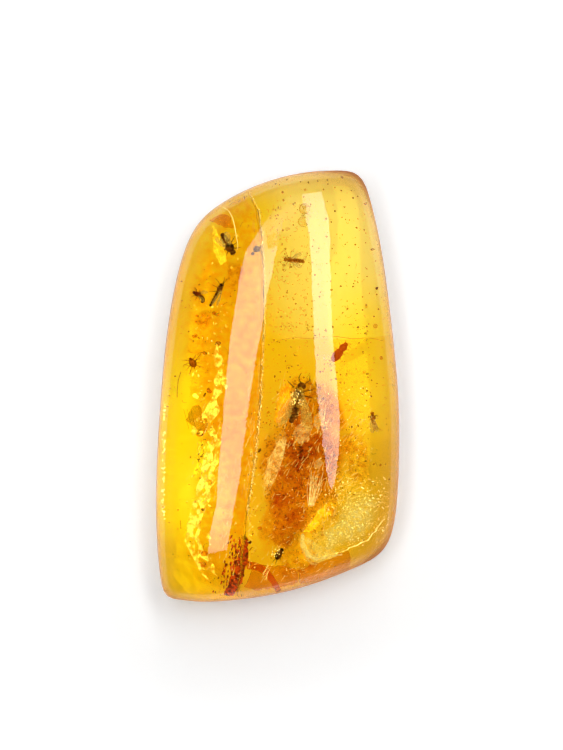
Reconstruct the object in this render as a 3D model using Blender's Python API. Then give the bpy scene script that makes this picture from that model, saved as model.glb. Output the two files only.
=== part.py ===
"""A polished piece of amber with insects and plant debris sealed inside it.

Metres, +Z up. The origin is the middle of the flat base. +Y runs towards the narrow end of the stone and +X
to its right, seen from above. The amber is parted level with its widest line, so that each sealed piece can
lie in a pocket of its own.
"""

import math

import bmesh
import bpy
import numpy as np
from mathutils import Euler, Matrix, Vector, noise

MM = 0.001

# The stone.
LENGTH = 40.0 * MM
WIDTH = 22.6 * MM
HEIGHT = 9.0 * MM
GIRDLE = 3.6 * MM  # height of the widest line, where the halves part
FLAT_SHARE = 0.77  # how far out the flat base reaches, as a share of the outline
DOME_POWER = 2.2  # 2 is an elliptical dome, and more is flatter with fuller edges
LEAN = 0.085  # sideways drift of the stone's middle line for each unit of length
END_FULLNESS = 0.5  # how much less the rings shrink in length than in width: 1 is as much, 0 not at all
CORNER_FADE = 0.6  # how quickly the rings lose the outline's corners towards the crest
CLEARANCE = 0.3 * MM  # between the halves, and between a sealed piece and its pocket

AROUND = 56  # points on each ring of the stone
CORNER_WEIGHT = 6.0  # extra points at a bend, as millimetres of outline for each radian
BASE_STEPS = 4
DOME_STEPS = 8

# Where the outline turns, counterclockwise from the top, in millimetres.
OUTLINE_MM = (
    (4.5, 20.0),
    (-0.7, 19.1),
    (-4.9, 17.2),
    (-7.3, 15.3),
    (-8.7, 12.5),
    (-9.8, 8.0),
    (-10.6, 2.0),
    (-11.1, -4.9),
    (-11.3, -10.5),
    (-11.1, -16.0),
    (-10.5, -18.6),
    (-9.0, -19.75),
    (-5.8, -20.0),
    (-0.7, -19.4),
    (4.6, -17.9),
    (8.3, -16.1),
    (10.3, -14.0),
    (11.1, -10.6),
    (11.3, -5.6),
    (11.2, -0.8),
    (10.6, 5.6),
    (9.8, 11.7),
    (9.1, 15.4),
    (8.55, 17.4),
    (7.7, 19.0),
    (6.4, 19.8),
)

BODY_SIDES, BODY_RINGS = 8, 6
LIMB_SIDES = 4
WING_THICK = 0.07 * MM
POCKET_AROUND, POCKET_RINGS = 10, 5
POCKET_POWER = 3.0  # a pocket's shape: 2 is an ellipsoid, and more is boxier


# ---------------------------------------------------------------- scene and mesh helpers


def clear_scene():
    for obj in list(bpy.data.objects):
        bpy.data.objects.remove(obj)


def material(name, colour, roughness, clear=False):
    made = bpy.data.materials.new(name)
    made.use_nodes = True
    shader = made.node_tree.nodes["Principled BSDF"]
    shader.inputs["Base Color"].default_value = (*colour, 1)
    shader.inputs["Roughness"].default_value = roughness
    if clear:
        shader.inputs["Transmission Weight"].default_value = 1.0
        shader.inputs["IOR"].default_value = 1.54
    return made


def new_object(name, bm, finish, smooth_under=40):
    bmesh.ops.recalc_face_normals(bm, faces=bm.faces)
    mesh = bpy.data.meshes.new(name)
    bm.to_mesh(mesh)
    bm.free()
    mesh.materials.append(finish)
    mesh.shade_smooth()
    mesh.set_sharp_from_angle(angle=math.radians(smooth_under))
    made = bpy.data.objects.new(name, mesh)
    bpy.context.scene.collection.objects.link(made)
    return made


def hide_helper(helper):
    helper.hide_render = True
    helper.display_type = "WIRE"


def boolean(target, helper, operation, overlaps_itself=False):
    cut = target.modifiers.new(helper.name, "BOOLEAN")
    cut.operation = operation
    cut.solver = "EXACT"
    cut.object = helper
    cut.use_self = overlaps_itself
    hide_helper(helper)


# ---------------------------------------------------------------- the stone


def closed_spline(points, count):
    """Points on the smooth closed curve through the given ones, closer together where it bends."""
    knots = np.array(points)
    total = len(knots)
    gaps = np.linalg.norm(np.roll(knots, -1, axis=0) - knots, axis=1)
    system = np.zeros((total, total))
    target = np.zeros((total, 2))
    for i in range(total):
        before, after = gaps[i - 1], gaps[i]
        system[i, i - 1] = after
        system[i, i] = 2 * (before + after)
        system[i, (i + 1) % total] = before
        step_in = (knots[i] - knots[i - 1]) / before
        step_out = (knots[(i + 1) % total] - knots[i]) / after
        target[i] = 3 * (after * step_in + before * step_out)
    slopes = np.linalg.solve(system, target)
    fine = []
    for i in range(total):
        j = (i + 1) % total
        for t in np.linspace(0, 1, 24, endpoint=False):
            fine.append(
                (2 * t**3 - 3 * t**2 + 1) * knots[i]
                + (t**3 - 2 * t**2 + t) * gaps[i] * slopes[i]
                + (3 * t**2 - 2 * t**3) * knots[j]
                + (t**3 - t**2) * gaps[i] * slopes[j]
            )
    fine = np.array([*fine, fine[0]])
    steps = np.diff(fine, axis=0)
    heading = np.unwrap(np.arctan2(steps[:, 1], steps[:, 0]))
    bend = np.abs(np.diff(heading, prepend=heading[0]))
    run = np.concatenate([[0], np.cumsum(np.linalg.norm(steps, axis=1) + CORNER_WEIGHT * bend)])
    at = np.linspace(0, run[-1], count, endpoint=False)
    return np.stack([np.interp(at, run, fine[:, k]) for k in range(2)], axis=1)


def stone_outline():
    """The outline at its real size, centred on the origin."""
    curve = closed_spline(OUTLINE_MM, AROUND)
    low, high = curve.min(axis=0), curve.max(axis=0)
    return (curve - (low + high) / 2) / (high - low) * np.array([WIDTH, LENGTH])


def ring(outline, share, height):
    """The outline drawn in to a share of its width. Its length shrinks less, which keeps the crest long."""
    keep = share**CORNER_FADE
    points = []
    for x, y in outline:
        side = x - LEAN * y
        turn = math.atan2(y / LENGTH, side / WIDTH)
        side = keep * side + (1 - keep) * WIDTH / 2 * math.cos(turn)
        along = (keep * y + (1 - keep) * LENGTH / 2 * math.sin(turn)) * share**END_FULLNESS
        points.append(Vector((share * side + LEAN * along, along, height)))
    return points


def stone_profile():
    """(share of the outline, height) from the edge of the flat base, over the girdle, to near the crest."""
    levels = []
    for step in range(BASE_STEPS):
        turn = math.pi / 2 * step / BASE_STEPS
        levels.append((FLAT_SHARE + (1 - FLAT_SHARE) * math.sin(turn), GIRDLE * (1 - math.cos(turn))))
    for step in range(DOME_STEPS):
        share = math.cos(math.pi / 2 * step / DOME_STEPS)
        rise = (1 - share**DOME_POWER) ** (1 / DOME_POWER)
        levels.append((share, GIRDLE + (HEIGHT - GIRDLE) * rise))
    return levels


def add_loop(bm, points):
    corners = [bm.verts.new(p) for p in points]
    return [bm.edges.new((corners[i - 1], corners[i])) for i in range(len(corners))]


def stone_mesh():
    bm = bmesh.new()
    outline = stone_outline()
    loops = [add_loop(bm, ring(outline, share, height)) for share, height in stone_profile()]
    for lower, upper in zip(loops, loops[1:]):
        bmesh.ops.bridge_loops(bm, edges=lower + upper)
    bmesh.ops.contextual_create(bm, geom=loops[0])
    crest = bmesh.ops.contextual_create(bm, geom=loops[-1])["faces"]
    top = bmesh.ops.poke(bm, faces=crest)["verts"]
    for vert in top:
        vert.co.z = HEIGHT
    return bm


def half_stone(name, upper, finish):
    """One side of the stone, cut back from the parting plane by half the clearance."""
    bm = stone_mesh()
    side = 1 if upper else -1
    cut = bmesh.ops.bisect_plane(
        bm,
        geom=bm.verts[:] + bm.edges[:] + bm.faces[:],
        plane_co=(0, 0, GIRDLE + side * CLEARANCE / 2),
        plane_no=(0, 0, side),
        clear_inner=True,
    )
    rim = [g for g in cut["geom_cut"] if isinstance(g, bmesh.types.BMEdge)]
    bmesh.ops.contextual_create(bm, geom=rim)
    return new_object(name, bm, finish)


# ---------------------------------------------------------------- sealed pieces


def segment(bm, centre, size, tilt=0.0):
    """An ellipsoid of these full sizes, in millimetres, tipped nose up by tilt degrees."""
    where = Matrix.Translation(Vector(centre) * MM) @ Matrix.Rotation(math.radians(tilt), 4, "X")
    stretch = Matrix.Diagonal((*(Vector(size) * MM / 2), 1))
    lie_along_y = Matrix.Rotation(math.pi / 2, 4, "X")
    bmesh.ops.create_uvsphere(
        bm, u_segments=BODY_SIDES, v_segments=BODY_RINGS, radius=1, matrix=where @ stretch @ lie_along_y
    )


def rod(bm, start, end, thick_start, thick_end):
    """A tapered rod between two points, in millimetres."""
    start, end = Vector(start) * MM, Vector(end) * MM
    turn = (end - start).to_track_quat("Z", "X").to_matrix().to_4x4()
    bmesh.ops.create_cone(
        bm,
        cap_ends=True,
        segments=LIMB_SIDES,
        radius1=thick_start * MM / 2,
        radius2=thick_end * MM / 2,
        depth=(end - start).length,
        matrix=Matrix.Translation((start + end) / 2) @ turn,
    )


def limb(bm, points, thick):
    """A jointed leg or antenna through these points, thinner at each joint."""
    for i, (start, end) in enumerate(zip(points, points[1:])):
        here = thick * (1 - i / len(points))
        after = thick * (1 - (i + 1) / len(points))
        past = Vector(end) + (Vector(end) - Vector(start)).normalized() * after / 3
        rod(bm, start, past, here, after)


def legs(bm, roots, reach, drop, thick, kneed=True):
    """A pair of legs from each root (x, y, z), out to reach millimetres and down by drop."""
    for i, (x, y, z) in enumerate(roots):
        swing = (1 - i) * 0.55 * reach
        for side in (-1, 1):
            hip = (side * x, y, z)
            knee = (side * (x + 0.55 * reach), y + 0.45 * swing, z + 0.12)
            foot = (side * (x + reach), y + swing, z - drop)
            limb(bm, (hip, knee, foot) if kneed else (hip, foot), thick)


def wing(bm, root, length, breadth, splay, lift=0.0):
    """A thin wing from its root back along -Y, splayed sideways and lifted by these degrees."""
    shape = ((0, 0), (0.35, 0.42), (0.75, 0.5), (1.0, 0.18), (0.96, -0.2), (0.6, -0.42), (0.25, -0.22))
    turn = Euler((math.radians(lift), 0, math.radians(splay))).to_matrix().to_4x4()
    where = Matrix.Translation(Vector(root) * MM) @ turn
    corners = [bm.verts.new((across * breadth * MM, -along * length * MM, 0)) for along, across in shape]
    face = bm.faces.new(corners)
    made = bmesh.ops.extrude_face_region(bm, geom=[face])["geom"]
    raised = [g for g in made if isinstance(g, bmesh.types.BMVert)]
    bmesh.ops.translate(bm, verts=raised, vec=(0, 0, WING_THICK))
    bmesh.ops.transform(bm, verts=corners + raised, matrix=where)


def place(obj, at_mm, yaw=0.0, pitch=0.0, roll=0.0):
    obj.location = Vector(at_mm) * MM
    obj.rotation_euler = Euler([math.radians(a) for a in (pitch, roll, yaw)])
    return obj


def joined_insect(name, finish, core, extras):
    """One solid from a core segment and everything that extras(bm) adds to it."""
    bm = bmesh.new()
    segment(bm, *core)
    body = new_object(name, bm, finish)
    bm = bmesh.new()
    extras(bm)
    rest = new_object(name + "_rest", bm, finish)
    rest.parent = body
    boolean(body, rest, "UNION", overlaps_itself=True)
    return body


def fly(finish):
    """A small hump-backed fly with its wings folded back."""

    def extras(bm):
        segment(bm, (0, 0.78, -0.08), (0.46, 0.42, 0.46))
        segment(bm, (0, -0.72, -0.1), (0.56, 1.15, 0.5), tilt=8)
        legs(bm, ((0.16, 0.45, -0.18), (0.2, 0.22, -0.2), (0.2, 0.0, -0.2)), 0.62, 0.22, 0.13)
        wing(bm, (0.14, 0.3, 0.16), 1.5, 0.62, 16)
        wing(bm, (-0.14, 0.3, 0.16), 1.5, 0.62, -16)

    return joined_insect("fly", finish, ((0, 0.25, 0), (0.62, 0.85, 0.62)), extras)


def gnat(finish):
    """A slender gnat lying on its side, with long legs and feathered antennae."""

    def extras(bm):
        segment(bm, (0, 0.98, -0.02), (0.34, 0.3, 0.36))
        segment(bm, (0, -0.1, -0.02), (0.36, 1.0, 0.36))
        segment(bm, (0, -0.85, -0.05), (0.3, 0.9, 0.3), tilt=6)
        legs(bm, ((0.1, 0.8, -0.1), (0.12, 0.6, -0.1), (0.12, 0.42, -0.1)), 0.9, 0.35, 0.1)
        for side in (-1, 1):
            limb(bm, ((side * 0.06, 1.08, 0.05), (side * 0.22, 1.45, 0.12), (side * 0.45, 1.75, 0.1)), 0.09)
        wing(bm, (0.12, 0.62, 0.18), 1.65, 0.55, 20)
        wing(bm, (-0.12, 0.62, 0.18), 1.65, 0.55, -10)

    return joined_insect("gnat", finish, ((0, 0.62, 0), (0.46, 0.62, 0.5)), extras)


def curled_gnat(finish):
    """A small gnat that died curled up, with its legs drawn in."""

    def extras(bm):
        segment(bm, (0.02, 0.42, -0.05), (0.3, 0.28, 0.3))
        segment(bm, (-0.1, -0.36, -0.02), (0.34, 0.5, 0.32))
        segment(bm, (-0.34, -0.56, -0.02), (0.44, 0.28, 0.28))
        legs(bm, ((0.1, 0.26, -0.06), (0.12, 0.08, -0.08)), 0.5, 0.08, 0.1, kneed=False)
        wing(bm, (0.08, 0.1, 0.08), 0.85, 0.4, 38)

    return joined_insect("curled_gnat", finish, ((0, 0.1, 0), (0.44, 0.58, 0.44)), extras)


def small_fly(finish):
    """A small fly lying with its wings folded along its back and one hind leg trailing."""

    def extras(bm):
        segment(bm, (0, 0.78, -0.04), (0.36, 0.3, 0.34))
        segment(bm, (0, -0.3, -0.02), (0.42, 1.05, 0.36))
        legs(bm, ((0.1, 0.45, -0.06), (0.12, 0.25, -0.06)), 0.35, 0.1, 0.1, kneed=False)
        limb(bm, ((0.08, -0.2, -0.04), (0.38, -0.7, 0.04), (0.72, -0.92, -0.05)), 0.16)
        wing(bm, (0.07, 0.34, 0.1), 1.35, 0.5, 8)
        wing(bm, (-0.07, 0.34, 0.1), 1.35, 0.5, -8)

    return joined_insect("small_fly", finish, ((0, 0.34, 0), (0.46, 0.66, 0.44)), extras)


def springtail(finish):
    """A tiny, plump springtail, with the fork of its tail out behind."""

    def extras(bm):
        segment(bm, (0, 0.5, 0.02), (0.34, 0.34, 0.34))
        legs(bm, ((0.1, 0.26, -0.08), (0.12, 0.06, -0.1)), 0.28, 0.06, 0.1, kneed=False)
        for side in (-1, 1):
            limb(bm, ((side * 0.05, -0.3, -0.02), (side * 0.16, -0.85, -0.06)), 0.11)

    return joined_insect("springtail", finish, ((0, 0, 0), (0.52, 0.92, 0.46)), extras)


def midge(finish):
    """A short midge with raised legs and a pale, round abdomen."""

    def extras(bm):
        segment(bm, (0, 0.66, 0.0), (0.4, 0.32, 0.4))
        segment(bm, (0, -0.45, -0.02), (0.52, 1.0, 0.46))
        legs(bm, ((0.1, 0.42, -0.06), (0.12, 0.25, -0.08), (0.1, 0.1, -0.06)), 0.85, 0.2, 0.1)
        for side in (-1, 1):
            limb(bm, ((side * 0.07, 0.76, 0.05), (side * 0.25, 1.1, 0.1)), 0.09)
        wing(bm, (0.08, 0.26, 0.1), 1.15, 0.46, 34)
        wing(bm, (-0.08, 0.26, 0.1), 1.15, 0.46, -26)

    return joined_insect("midge", finish, ((0, 0.24, 0), (0.46, 0.6, 0.46)), extras)


def beetle(finish):
    """A small, straight-sided beetle: head, pronotum and closed wing cases."""

    def extras(bm):
        segment(bm, (0, 0.92, -0.06), (0.42, 0.36, 0.34))
        segment(bm, (0, -0.3, 0.02), (0.78, 1.46, 0.6))
        legs(bm, ((0.2, 0.5, -0.12), (0.22, 0.1, -0.14), (0.22, -0.3, -0.14)), 0.34, 0.16, 0.12, kneed=False)
        for side in (-1, 1):
            limb(bm, ((side * 0.1, 1.02, 0), (side * 0.24, 1.22, 0.02)), 0.1)
        wing(bm, (0.05, -0.75, -0.04), 0.85, 0.4, 6)

    return joined_insect("beetle", finish, ((0, 0.56, 0), (0.68, 0.72, 0.56)), extras)


def mite(finish):
    """A round mite with eight short legs."""

    def extras(bm):
        segment(bm, (0, 0.42, -0.04), (0.3, 0.28, 0.24))
        roots = ((0.12, 0.32, -0.08), (0.2, 0.14, -0.08), (0.2, -0.06, -0.08), (0.14, -0.24, -0.08))
        legs(bm, roots, 0.55, 0.12, 0.1, kneed=False)

    return joined_insect("mite", finish, ((0, 0, 0), (0.62, 0.84, 0.5)), extras)


def winged_ant(finish):
    """The largest insect: a winged ant lying over the debris, wings spread to one side."""

    def extras(bm):
        segment(bm, (0, 1.3, 0), (0.78, 0.72, 0.66))
        segment(bm, (0, -0.26, -0.03), (0.34, 0.66, 0.38))
        segment(bm, (0, -1.3, -0.05), (0.95, 1.75, 0.86))
        legs(bm, ((0.25, 0.85, -0.25), (0.3, 0.5, -0.28), (0.26, 0.15, -0.26)), 1.1, 0.25, 0.16)
        for side in (-1, 1):
            limb(bm, ((side * 0.16, 1.55, 0.1), (side * 0.5, 1.95, 0.2), (side * 0.4, 2.45, 0.15)), 0.13)
        wing(bm, (0.22, 0.6, 0.18), 3.4, 1.05, 24)
        wing(bm, (-0.24, 0.75, 0.18), 3.5, 1.3, -16)

    return joined_insect("winged_ant", finish, ((0, 0.52, 0), (0.82, 1.25, 0.84)), extras)


def sheet_piece(name, finish, corners_mm, thick_mm, wave_mm):
    """A thin, gently waved flake cut to an outline."""
    bm = bmesh.new()
    corners = [bm.verts.new((x * MM, y * MM, 0)) for x, y in corners_mm]
    face = bm.faces.new(corners)
    rim = list(face.edges)
    bmesh.ops.subdivide_edges(bm, edges=rim, cuts=1)
    bmesh.ops.poke(bm, faces=bm.faces[:])
    made = bmesh.ops.extrude_face_region(bm, geom=bm.faces[:])["geom"]
    raised = [g for g in made if isinstance(g, bmesh.types.BMVert)]
    bmesh.ops.translate(bm, verts=raised, vec=(0, 0, thick_mm * MM))
    for vert in bm.verts:
        vert.co.z += wave_mm * MM * math.sin(vert.co.y / MM * 1.3 + vert.co.x / MM)
    return new_object(name, bm, finish)


def lump_piece(name, finish, size_mm, roughness, grain, subdivisions, seed):
    """A lumpy solid of these full sizes: a ball pushed in and out by noise."""
    bm = bmesh.new()
    bmesh.ops.create_icosphere(bm, subdivisions=subdivisions, radius=1)
    for vert in bm.verts:
        push = noise.noise(vert.co * grain + Vector((seed, 0, 0)))
        vert.co *= 1 + roughness * push
        vert.co = Vector([vert.co[k] * size_mm[k] * MM / 2 for k in range(3)])
    return new_object(name, bm, finish)


# ---------------------------------------------------------------- pockets


def pocket(obj):
    """A closed cutter that holds a sealed piece with clearance and crosses the parting plane."""
    bpy.context.view_layer.update()
    yaw = Matrix.Rotation(obj.rotation_euler.z, 4, "Z")
    graph = bpy.context.evaluated_depsgraph_get()
    shown = obj.evaluated_get(graph)
    mesh = shown.to_mesh()
    local = np.array([yaw.inverted() @ shown.matrix_world @ v.co for v in mesh.vertices])
    shown.to_mesh_clear()
    low, high = local.min(axis=0), local.max(axis=0)
    low[2] = min(low[2], GIRDLE - 2 * CLEARANCE)
    high[2] = max(high[2], GIRDLE + 2 * CLEARANCE)
    middle, half = (low + high) / 2, (high - low) / 2
    reach = (np.abs((local - middle) / half) ** POCKET_POWER).sum(axis=1) ** (1 / POCKET_POWER)
    half = half * max(1.0, reach.max()) + 1.35 * CLEARANCE
    bm = bmesh.new()
    bmesh.ops.create_uvsphere(bm, u_segments=POCKET_AROUND, v_segments=POCKET_RINGS, radius=1)
    for vert in bm.verts:
        fullness = sum(abs(c) ** POCKET_POWER for c in vert.co) ** (1 / POCKET_POWER)
        vert.co = Vector([vert.co[k] / fullness * half[k] + middle[k] for k in range(3)])
    bmesh.ops.transform(bm, verts=bm.verts, matrix=yaw)
    return new_object(obj.name + "_pocket", bm, obj.data.materials[0])


# ---------------------------------------------------------------- assembly


def sealed_pieces():
    """Every insect and scrap in the amber, where it lies, in millimetres and degrees."""
    dark = material("insect_dark", (0.035, 0.018, 0.008), 0.45)
    brown = material("insect_brown", (0.16, 0.05, 0.015), 0.5)
    rust = material("beetle_rust", (0.32, 0.055, 0.008), 0.35)
    debris = material("debris", (0.25, 0.09, 0.02), 0.7)
    flake = material("plant_flake", (0.45, 0.2, 0.03), 0.6)
    pale = material("wing_membrane", (0.75, 0.55, 0.25), 0.3)
    bark = material("bark_red", (0.2, 0.025, 0.008), 0.6)

    return [
        place(fly(dark), (-4.25, 12.85, 4.9), yaw=-149, roll=20),
        place(gnat(dark), (-5.2, 8.4, 4.6), yaw=-26, roll=62),
        place(curled_gnat(brown), (-6.6, 8.35, 3.7), yaw=62, roll=24),
        place(midge(brown), (1.45, 11.55, 4.8), yaw=84, roll=-12),
        place(beetle(rust), (5.45, 3.15, 5.6), yaw=-38, roll=8),
        place(mite(brown), (-7.2, 2.1, 3.9), yaw=25),
        place(small_fly(brown), (8.3, -3.25, 4.2), yaw=9, roll=-15),
        place(winged_ant(dark), (1.8, -1.2, 5.5), yaw=-16, roll=10),
        place(
            sheet_piece(
                "bud_scale",
                flake,
                ((-0.2, 1.2), (0.5, 0.9), (0.95, -0.75), (0.6, -1.3), (-0.75, -0.15), (-0.95, 0.4)),
                0.22,
                0.08,
            ),
            (-6.95, -2.9, 3.9),
            pitch=12,
        ),
        place(
            sheet_piece(
                "shed_wing",
                pale,
                ((-0.2, 3.3), (0.55, 3.1), (0.75, 1.0), (0.6, -1.6), (0.1, -3.3), (-0.45, -1.8), (-0.6, 1.2)),
                0.1,
                0.1,
            ),
            (-0.8, -7.2, 5.0),
            yaw=-19,
            pitch=6,
            roll=-14,
        ),
        place(
            sheet_piece(
                "fibre_tuft", pale, ((-0.4, 1.7), (0.5, 1.5), (0.6, -0.6), (0.1, -1.8), (-0.6, -1.2)), 0.16, 0.12
            ),
            (3.7, -9.4, 5.2),
            yaw=-14,
        ),
        place(
            lump_piece("debris_clump", debris, (6.4, 14.6, 1.9), 0.3, 2.6, 4, 5.0), (2.9, -7.2, 3.4), yaw=4
        ),
        place(
            sheet_piece(
                "bark_sliver",
                bark,
                ((0.45, 2.7), (0.85, 2.5), (0.5, 0.4), (0.1, -2.4), (-0.35, -2.5), (-0.75, -0.4), (-0.5, 1.8)),
                0.5,
                0.06,
            ),
            (-4.15, -16.0, 3.4),
            yaw=-14,
        ),
        place(springtail(dark), (-0.05, -15.1, 3.9), yaw=-33),
    ]


def main():
    clear_scene()
    amber = material("amber", (0.95, 0.6, 0.08), 0.03, clear=True)
    lower = half_stone("amber_lower", False, amber)
    upper = half_stone("amber_upper", True, amber)
    for piece in sealed_pieces():
        cutter = pocket(piece)
        boolean(lower, cutter, "DIFFERENCE")
        boolean(upper, cutter, "DIFFERENCE")


main()
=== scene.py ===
"""A polished piece of golden amber with insects and plant debris sealed inside, on a pale table."""

import math

import bmesh
import bpy
import numpy as np
from mathutils import Euler, Matrix, Vector, noise
from mathutils.bvhtree import BVHTree

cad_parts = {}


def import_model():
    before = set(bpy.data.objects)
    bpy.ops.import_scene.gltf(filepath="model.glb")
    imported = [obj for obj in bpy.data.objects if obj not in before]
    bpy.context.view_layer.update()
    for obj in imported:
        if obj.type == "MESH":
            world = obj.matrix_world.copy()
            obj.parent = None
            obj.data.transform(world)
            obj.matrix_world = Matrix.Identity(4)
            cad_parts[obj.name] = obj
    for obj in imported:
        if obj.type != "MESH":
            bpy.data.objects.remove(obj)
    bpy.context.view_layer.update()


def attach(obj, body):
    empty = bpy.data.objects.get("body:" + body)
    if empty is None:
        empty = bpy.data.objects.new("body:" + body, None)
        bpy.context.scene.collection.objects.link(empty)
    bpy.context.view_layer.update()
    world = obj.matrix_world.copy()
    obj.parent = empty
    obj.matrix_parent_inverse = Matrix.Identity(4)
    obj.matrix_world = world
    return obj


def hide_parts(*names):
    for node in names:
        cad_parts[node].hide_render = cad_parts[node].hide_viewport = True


MM = 0.001

# The stone, as in the solid model but for a slightly wider base.
LENGTH = 40.0 * MM
WIDTH = 22.6 * MM
HEIGHT = 9.0 * MM
GIRDLE = 3.6 * MM
FLAT_SHARE = 0.83
DOME_POWER = 2.2
BASE_EASE = 1.3
LEAN = 0.085
END_FULLNESS = 0.5
CORNER_FADE = 0.6
REFRACTION = 1.54

AROUND = 176
BASE_STEPS = 18
DOME_STEPS = 40
POLISH = 15

OUTLINE_MM = (
    (4.5, 20.0), (-0.7, 19.1), (-4.9, 17.2), (-7.3, 15.3), (-8.7, 12.5), (-9.8, 8.0), (-10.6, 2.0),
    (-11.1, -4.9), (-11.3, -10.5), (-11.1, -16.0), (-10.5, -18.6), (-9.0, -19.75), (-5.8, -20.0), (-0.7, -19.4),
    (4.6, -17.9), (8.3, -16.1), (10.3, -14.0), (11.1, -10.6), (11.3, -5.6), (11.2, -0.8), (10.6, 5.6),
    (9.8, 11.7), (9.1, 15.4), (8.55, 17.4), (7.7, 19.0), (6.4, 19.8),
)

# Corners that stand out further than the polish leaves them: where, how far out and how widely.
CORNERS_MM = (((-10.2, -19.0), 0.6, 1.4), ((7.4, 19.2), 0.5, 1.8), ((9.6, -15.0), 0.4, 2.5))

# Without a seed, noise_vector gives other values in every run.
noise.seed_set(11)


# ---------------------------------------------------------------- the stone's shape


def closed_spline(points, count):
    """Evenly spaced points on the smooth closed curve through the given ones."""
    knots = np.array(points)
    total = len(knots)
    gaps = np.linalg.norm(np.roll(knots, -1, axis=0) - knots, axis=1)
    system = np.zeros((total, total))
    target = np.zeros((total, 2))
    for i in range(total):
        before, after = gaps[i - 1], gaps[i]
        system[i, i - 1] = after
        system[i, i] = 2 * (before + after)
        system[i, (i + 1) % total] = before
        step_in = (knots[i] - knots[i - 1]) / before
        step_out = (knots[(i + 1) % total] - knots[i]) / after
        target[i] = 3 * (after * step_in + before * step_out)
    slopes = np.linalg.solve(system, target)
    fine = []
    for i in range(total):
        j = (i + 1) % total
        for t in np.linspace(0, 1, 24, endpoint=False):
            fine.append(
                (2 * t**3 - 3 * t**2 + 1) * knots[i]
                + (t**3 - 2 * t**2 + t) * gaps[i] * slopes[i]
                + (3 * t**2 - 2 * t**3) * knots[j]
                + (t**3 - t**2) * gaps[i] * slopes[j]
            )
    fine = np.array([*fine, fine[0]])
    run = np.concatenate([[0], np.cumsum(np.linalg.norm(np.diff(fine, axis=0), axis=1))])
    at = np.linspace(0, run[-1], count, endpoint=False)
    return np.stack([np.interp(at, run, fine[:, k]) for k in range(2)], axis=1)


def stone_outline():
    """The outline, polished: its smallest ripples are worn away."""
    curve = closed_spline(OUTLINE_MM, AROUND)
    waves = np.fft.fft(curve[:, 0] + 1j * curve[:, 1])
    turns = np.fft.fftfreq(AROUND, 1 / AROUND)
    worn = np.fft.ifft(waves * np.exp(-0.5 * (turns / POLISH) ** 2))
    curve = np.stack([worn.real, worn.imag], axis=1)
    low, high = curve.min(axis=0), curve.max(axis=0)
    return (curve - (low + high) / 2) / (high - low) * np.array([WIDTH, LENGTH])


def corner_push(x, y):
    """How far the corners stand out beyond the outline at a point of it."""
    at = Vector((x, y, 0))
    push = 0.0
    for corner, out, reach in CORNERS_MM:
        push += out * math.exp(-(((at / MM - Vector((*corner, 0))).length / reach) ** 2))
    return at.normalized() * push * MM


def ring(outline, share, height):
    """The outline drawn in to a share of its width. Its length shrinks less, which keeps the crest long."""
    keep = share**CORNER_FADE
    points = []
    for x, y in outline:
        side = x - LEAN * y
        turn = math.atan2(y / LENGTH, side / WIDTH)
        side = keep * side + (1 - keep) * WIDTH / 2 * math.cos(turn)
        along = (keep * y + (1 - keep) * LENGTH / 2 * math.sin(turn)) * share**END_FULLNESS
        points.append(Vector((share * side + LEAN * along, along, height)) + corner_push(x, y) * share**9)
    return points


def add_loop(bm, points):
    corners = [bm.verts.new(p) for p in points]
    return [bm.edges.new((corners[i - 1], corners[i])) for i in range(len(corners))]


def stone_shell():
    bm = bmesh.new()
    outline = stone_outline()
    levels = []
    for step in range(BASE_STEPS):
        turn = math.pi / 2 * step / BASE_STEPS
        levels.append((
            FLAT_SHARE + (1 - FLAT_SHARE) * math.sin(turn), GIRDLE * (1 - math.cos(turn)) ** BASE_EASE,
        ))
    for step in range(DOME_STEPS):
        share = math.cos(math.pi / 2 * step / DOME_STEPS)
        rise = (1 - share**DOME_POWER) ** (1 / DOME_POWER)
        levels.append((share, GIRDLE + (HEIGHT - GIRDLE) * rise))
    loops = [add_loop(bm, ring(outline, share, height)) for share, height in levels]
    for lower, upper in zip(loops, loops[1:]):
        bmesh.ops.bridge_loops(bm, edges=lower + upper)
    bmesh.ops.contextual_create(bm, geom=loops[0])
    crest = bmesh.ops.contextual_create(bm, geom=loops[-1])["faces"]
    top = bmesh.ops.poke(bm, faces=crest)["verts"]
    for vert in top:
        vert.co.z = HEIGHT
    bmesh.ops.recalc_face_normals(bm, faces=bm.faces)
    return bm


class Dome:
    """The stone's upper surface, for placing what is sealed under it."""

    def __init__(self, bm):
        copy = bm.copy()
        bmesh.ops.triangulate(copy, faces=copy.faces)
        self.tree = BVHTree.FromBMesh(copy)
        copy.free()

    def top(self, x, y):
        """Height of the dome above a point, or the girdle's height outside the outline."""
        hit = self.tree.ray_cast(Vector((x, y, 0.05)), Vector((0, 0, -1)))[0]
        return hit.z if hit else GIRDLE

    def height(self, x, y):
        """Height of the dome above a point. All in millimetres."""
        return self.top(x * MM, y * MM) / MM

    def covers(self, x, y, z):
        """Whether a point lies well inside the stone. All in millimetres."""
        hit = self.tree.ray_cast(Vector((x, y, 50)) * MM, Vector((0, 0, -1)))[0]
        return bool(hit) and hit.z / MM > max(z + 0.3, 4.3)

    def under(self, x, y, z):
        """Where a thing at height z lies that is seen from straight above at x, y. All in millimetres."""
        x, y, z, step = x * MM, y * MM, z * MM, 0.3 * MM
        slope_x = (self.top(x + step, y) - self.top(x - step, y)) / (2 * step)
        slope_y = (self.top(x, y + step) - self.top(x, y - step)) / (2 * step)
        out = Vector((-slope_x, -slope_y, 1)).normalized()
        bend = 1 / REFRACTION
        inward = math.sqrt(1 - bend * bend * (1 - out.z * out.z))
        ray = bend * Vector((0, 0, -1)) + (bend * out.z - inward) * out
        drop = (z - self.top(x, y)) / ray.z
        return Vector((x + ray.x * drop, y + ray.y * drop, z)) / MM


# ---------------------------------------------------------------- shader groups and materials

FINE_GRAIN = 420.0


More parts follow.
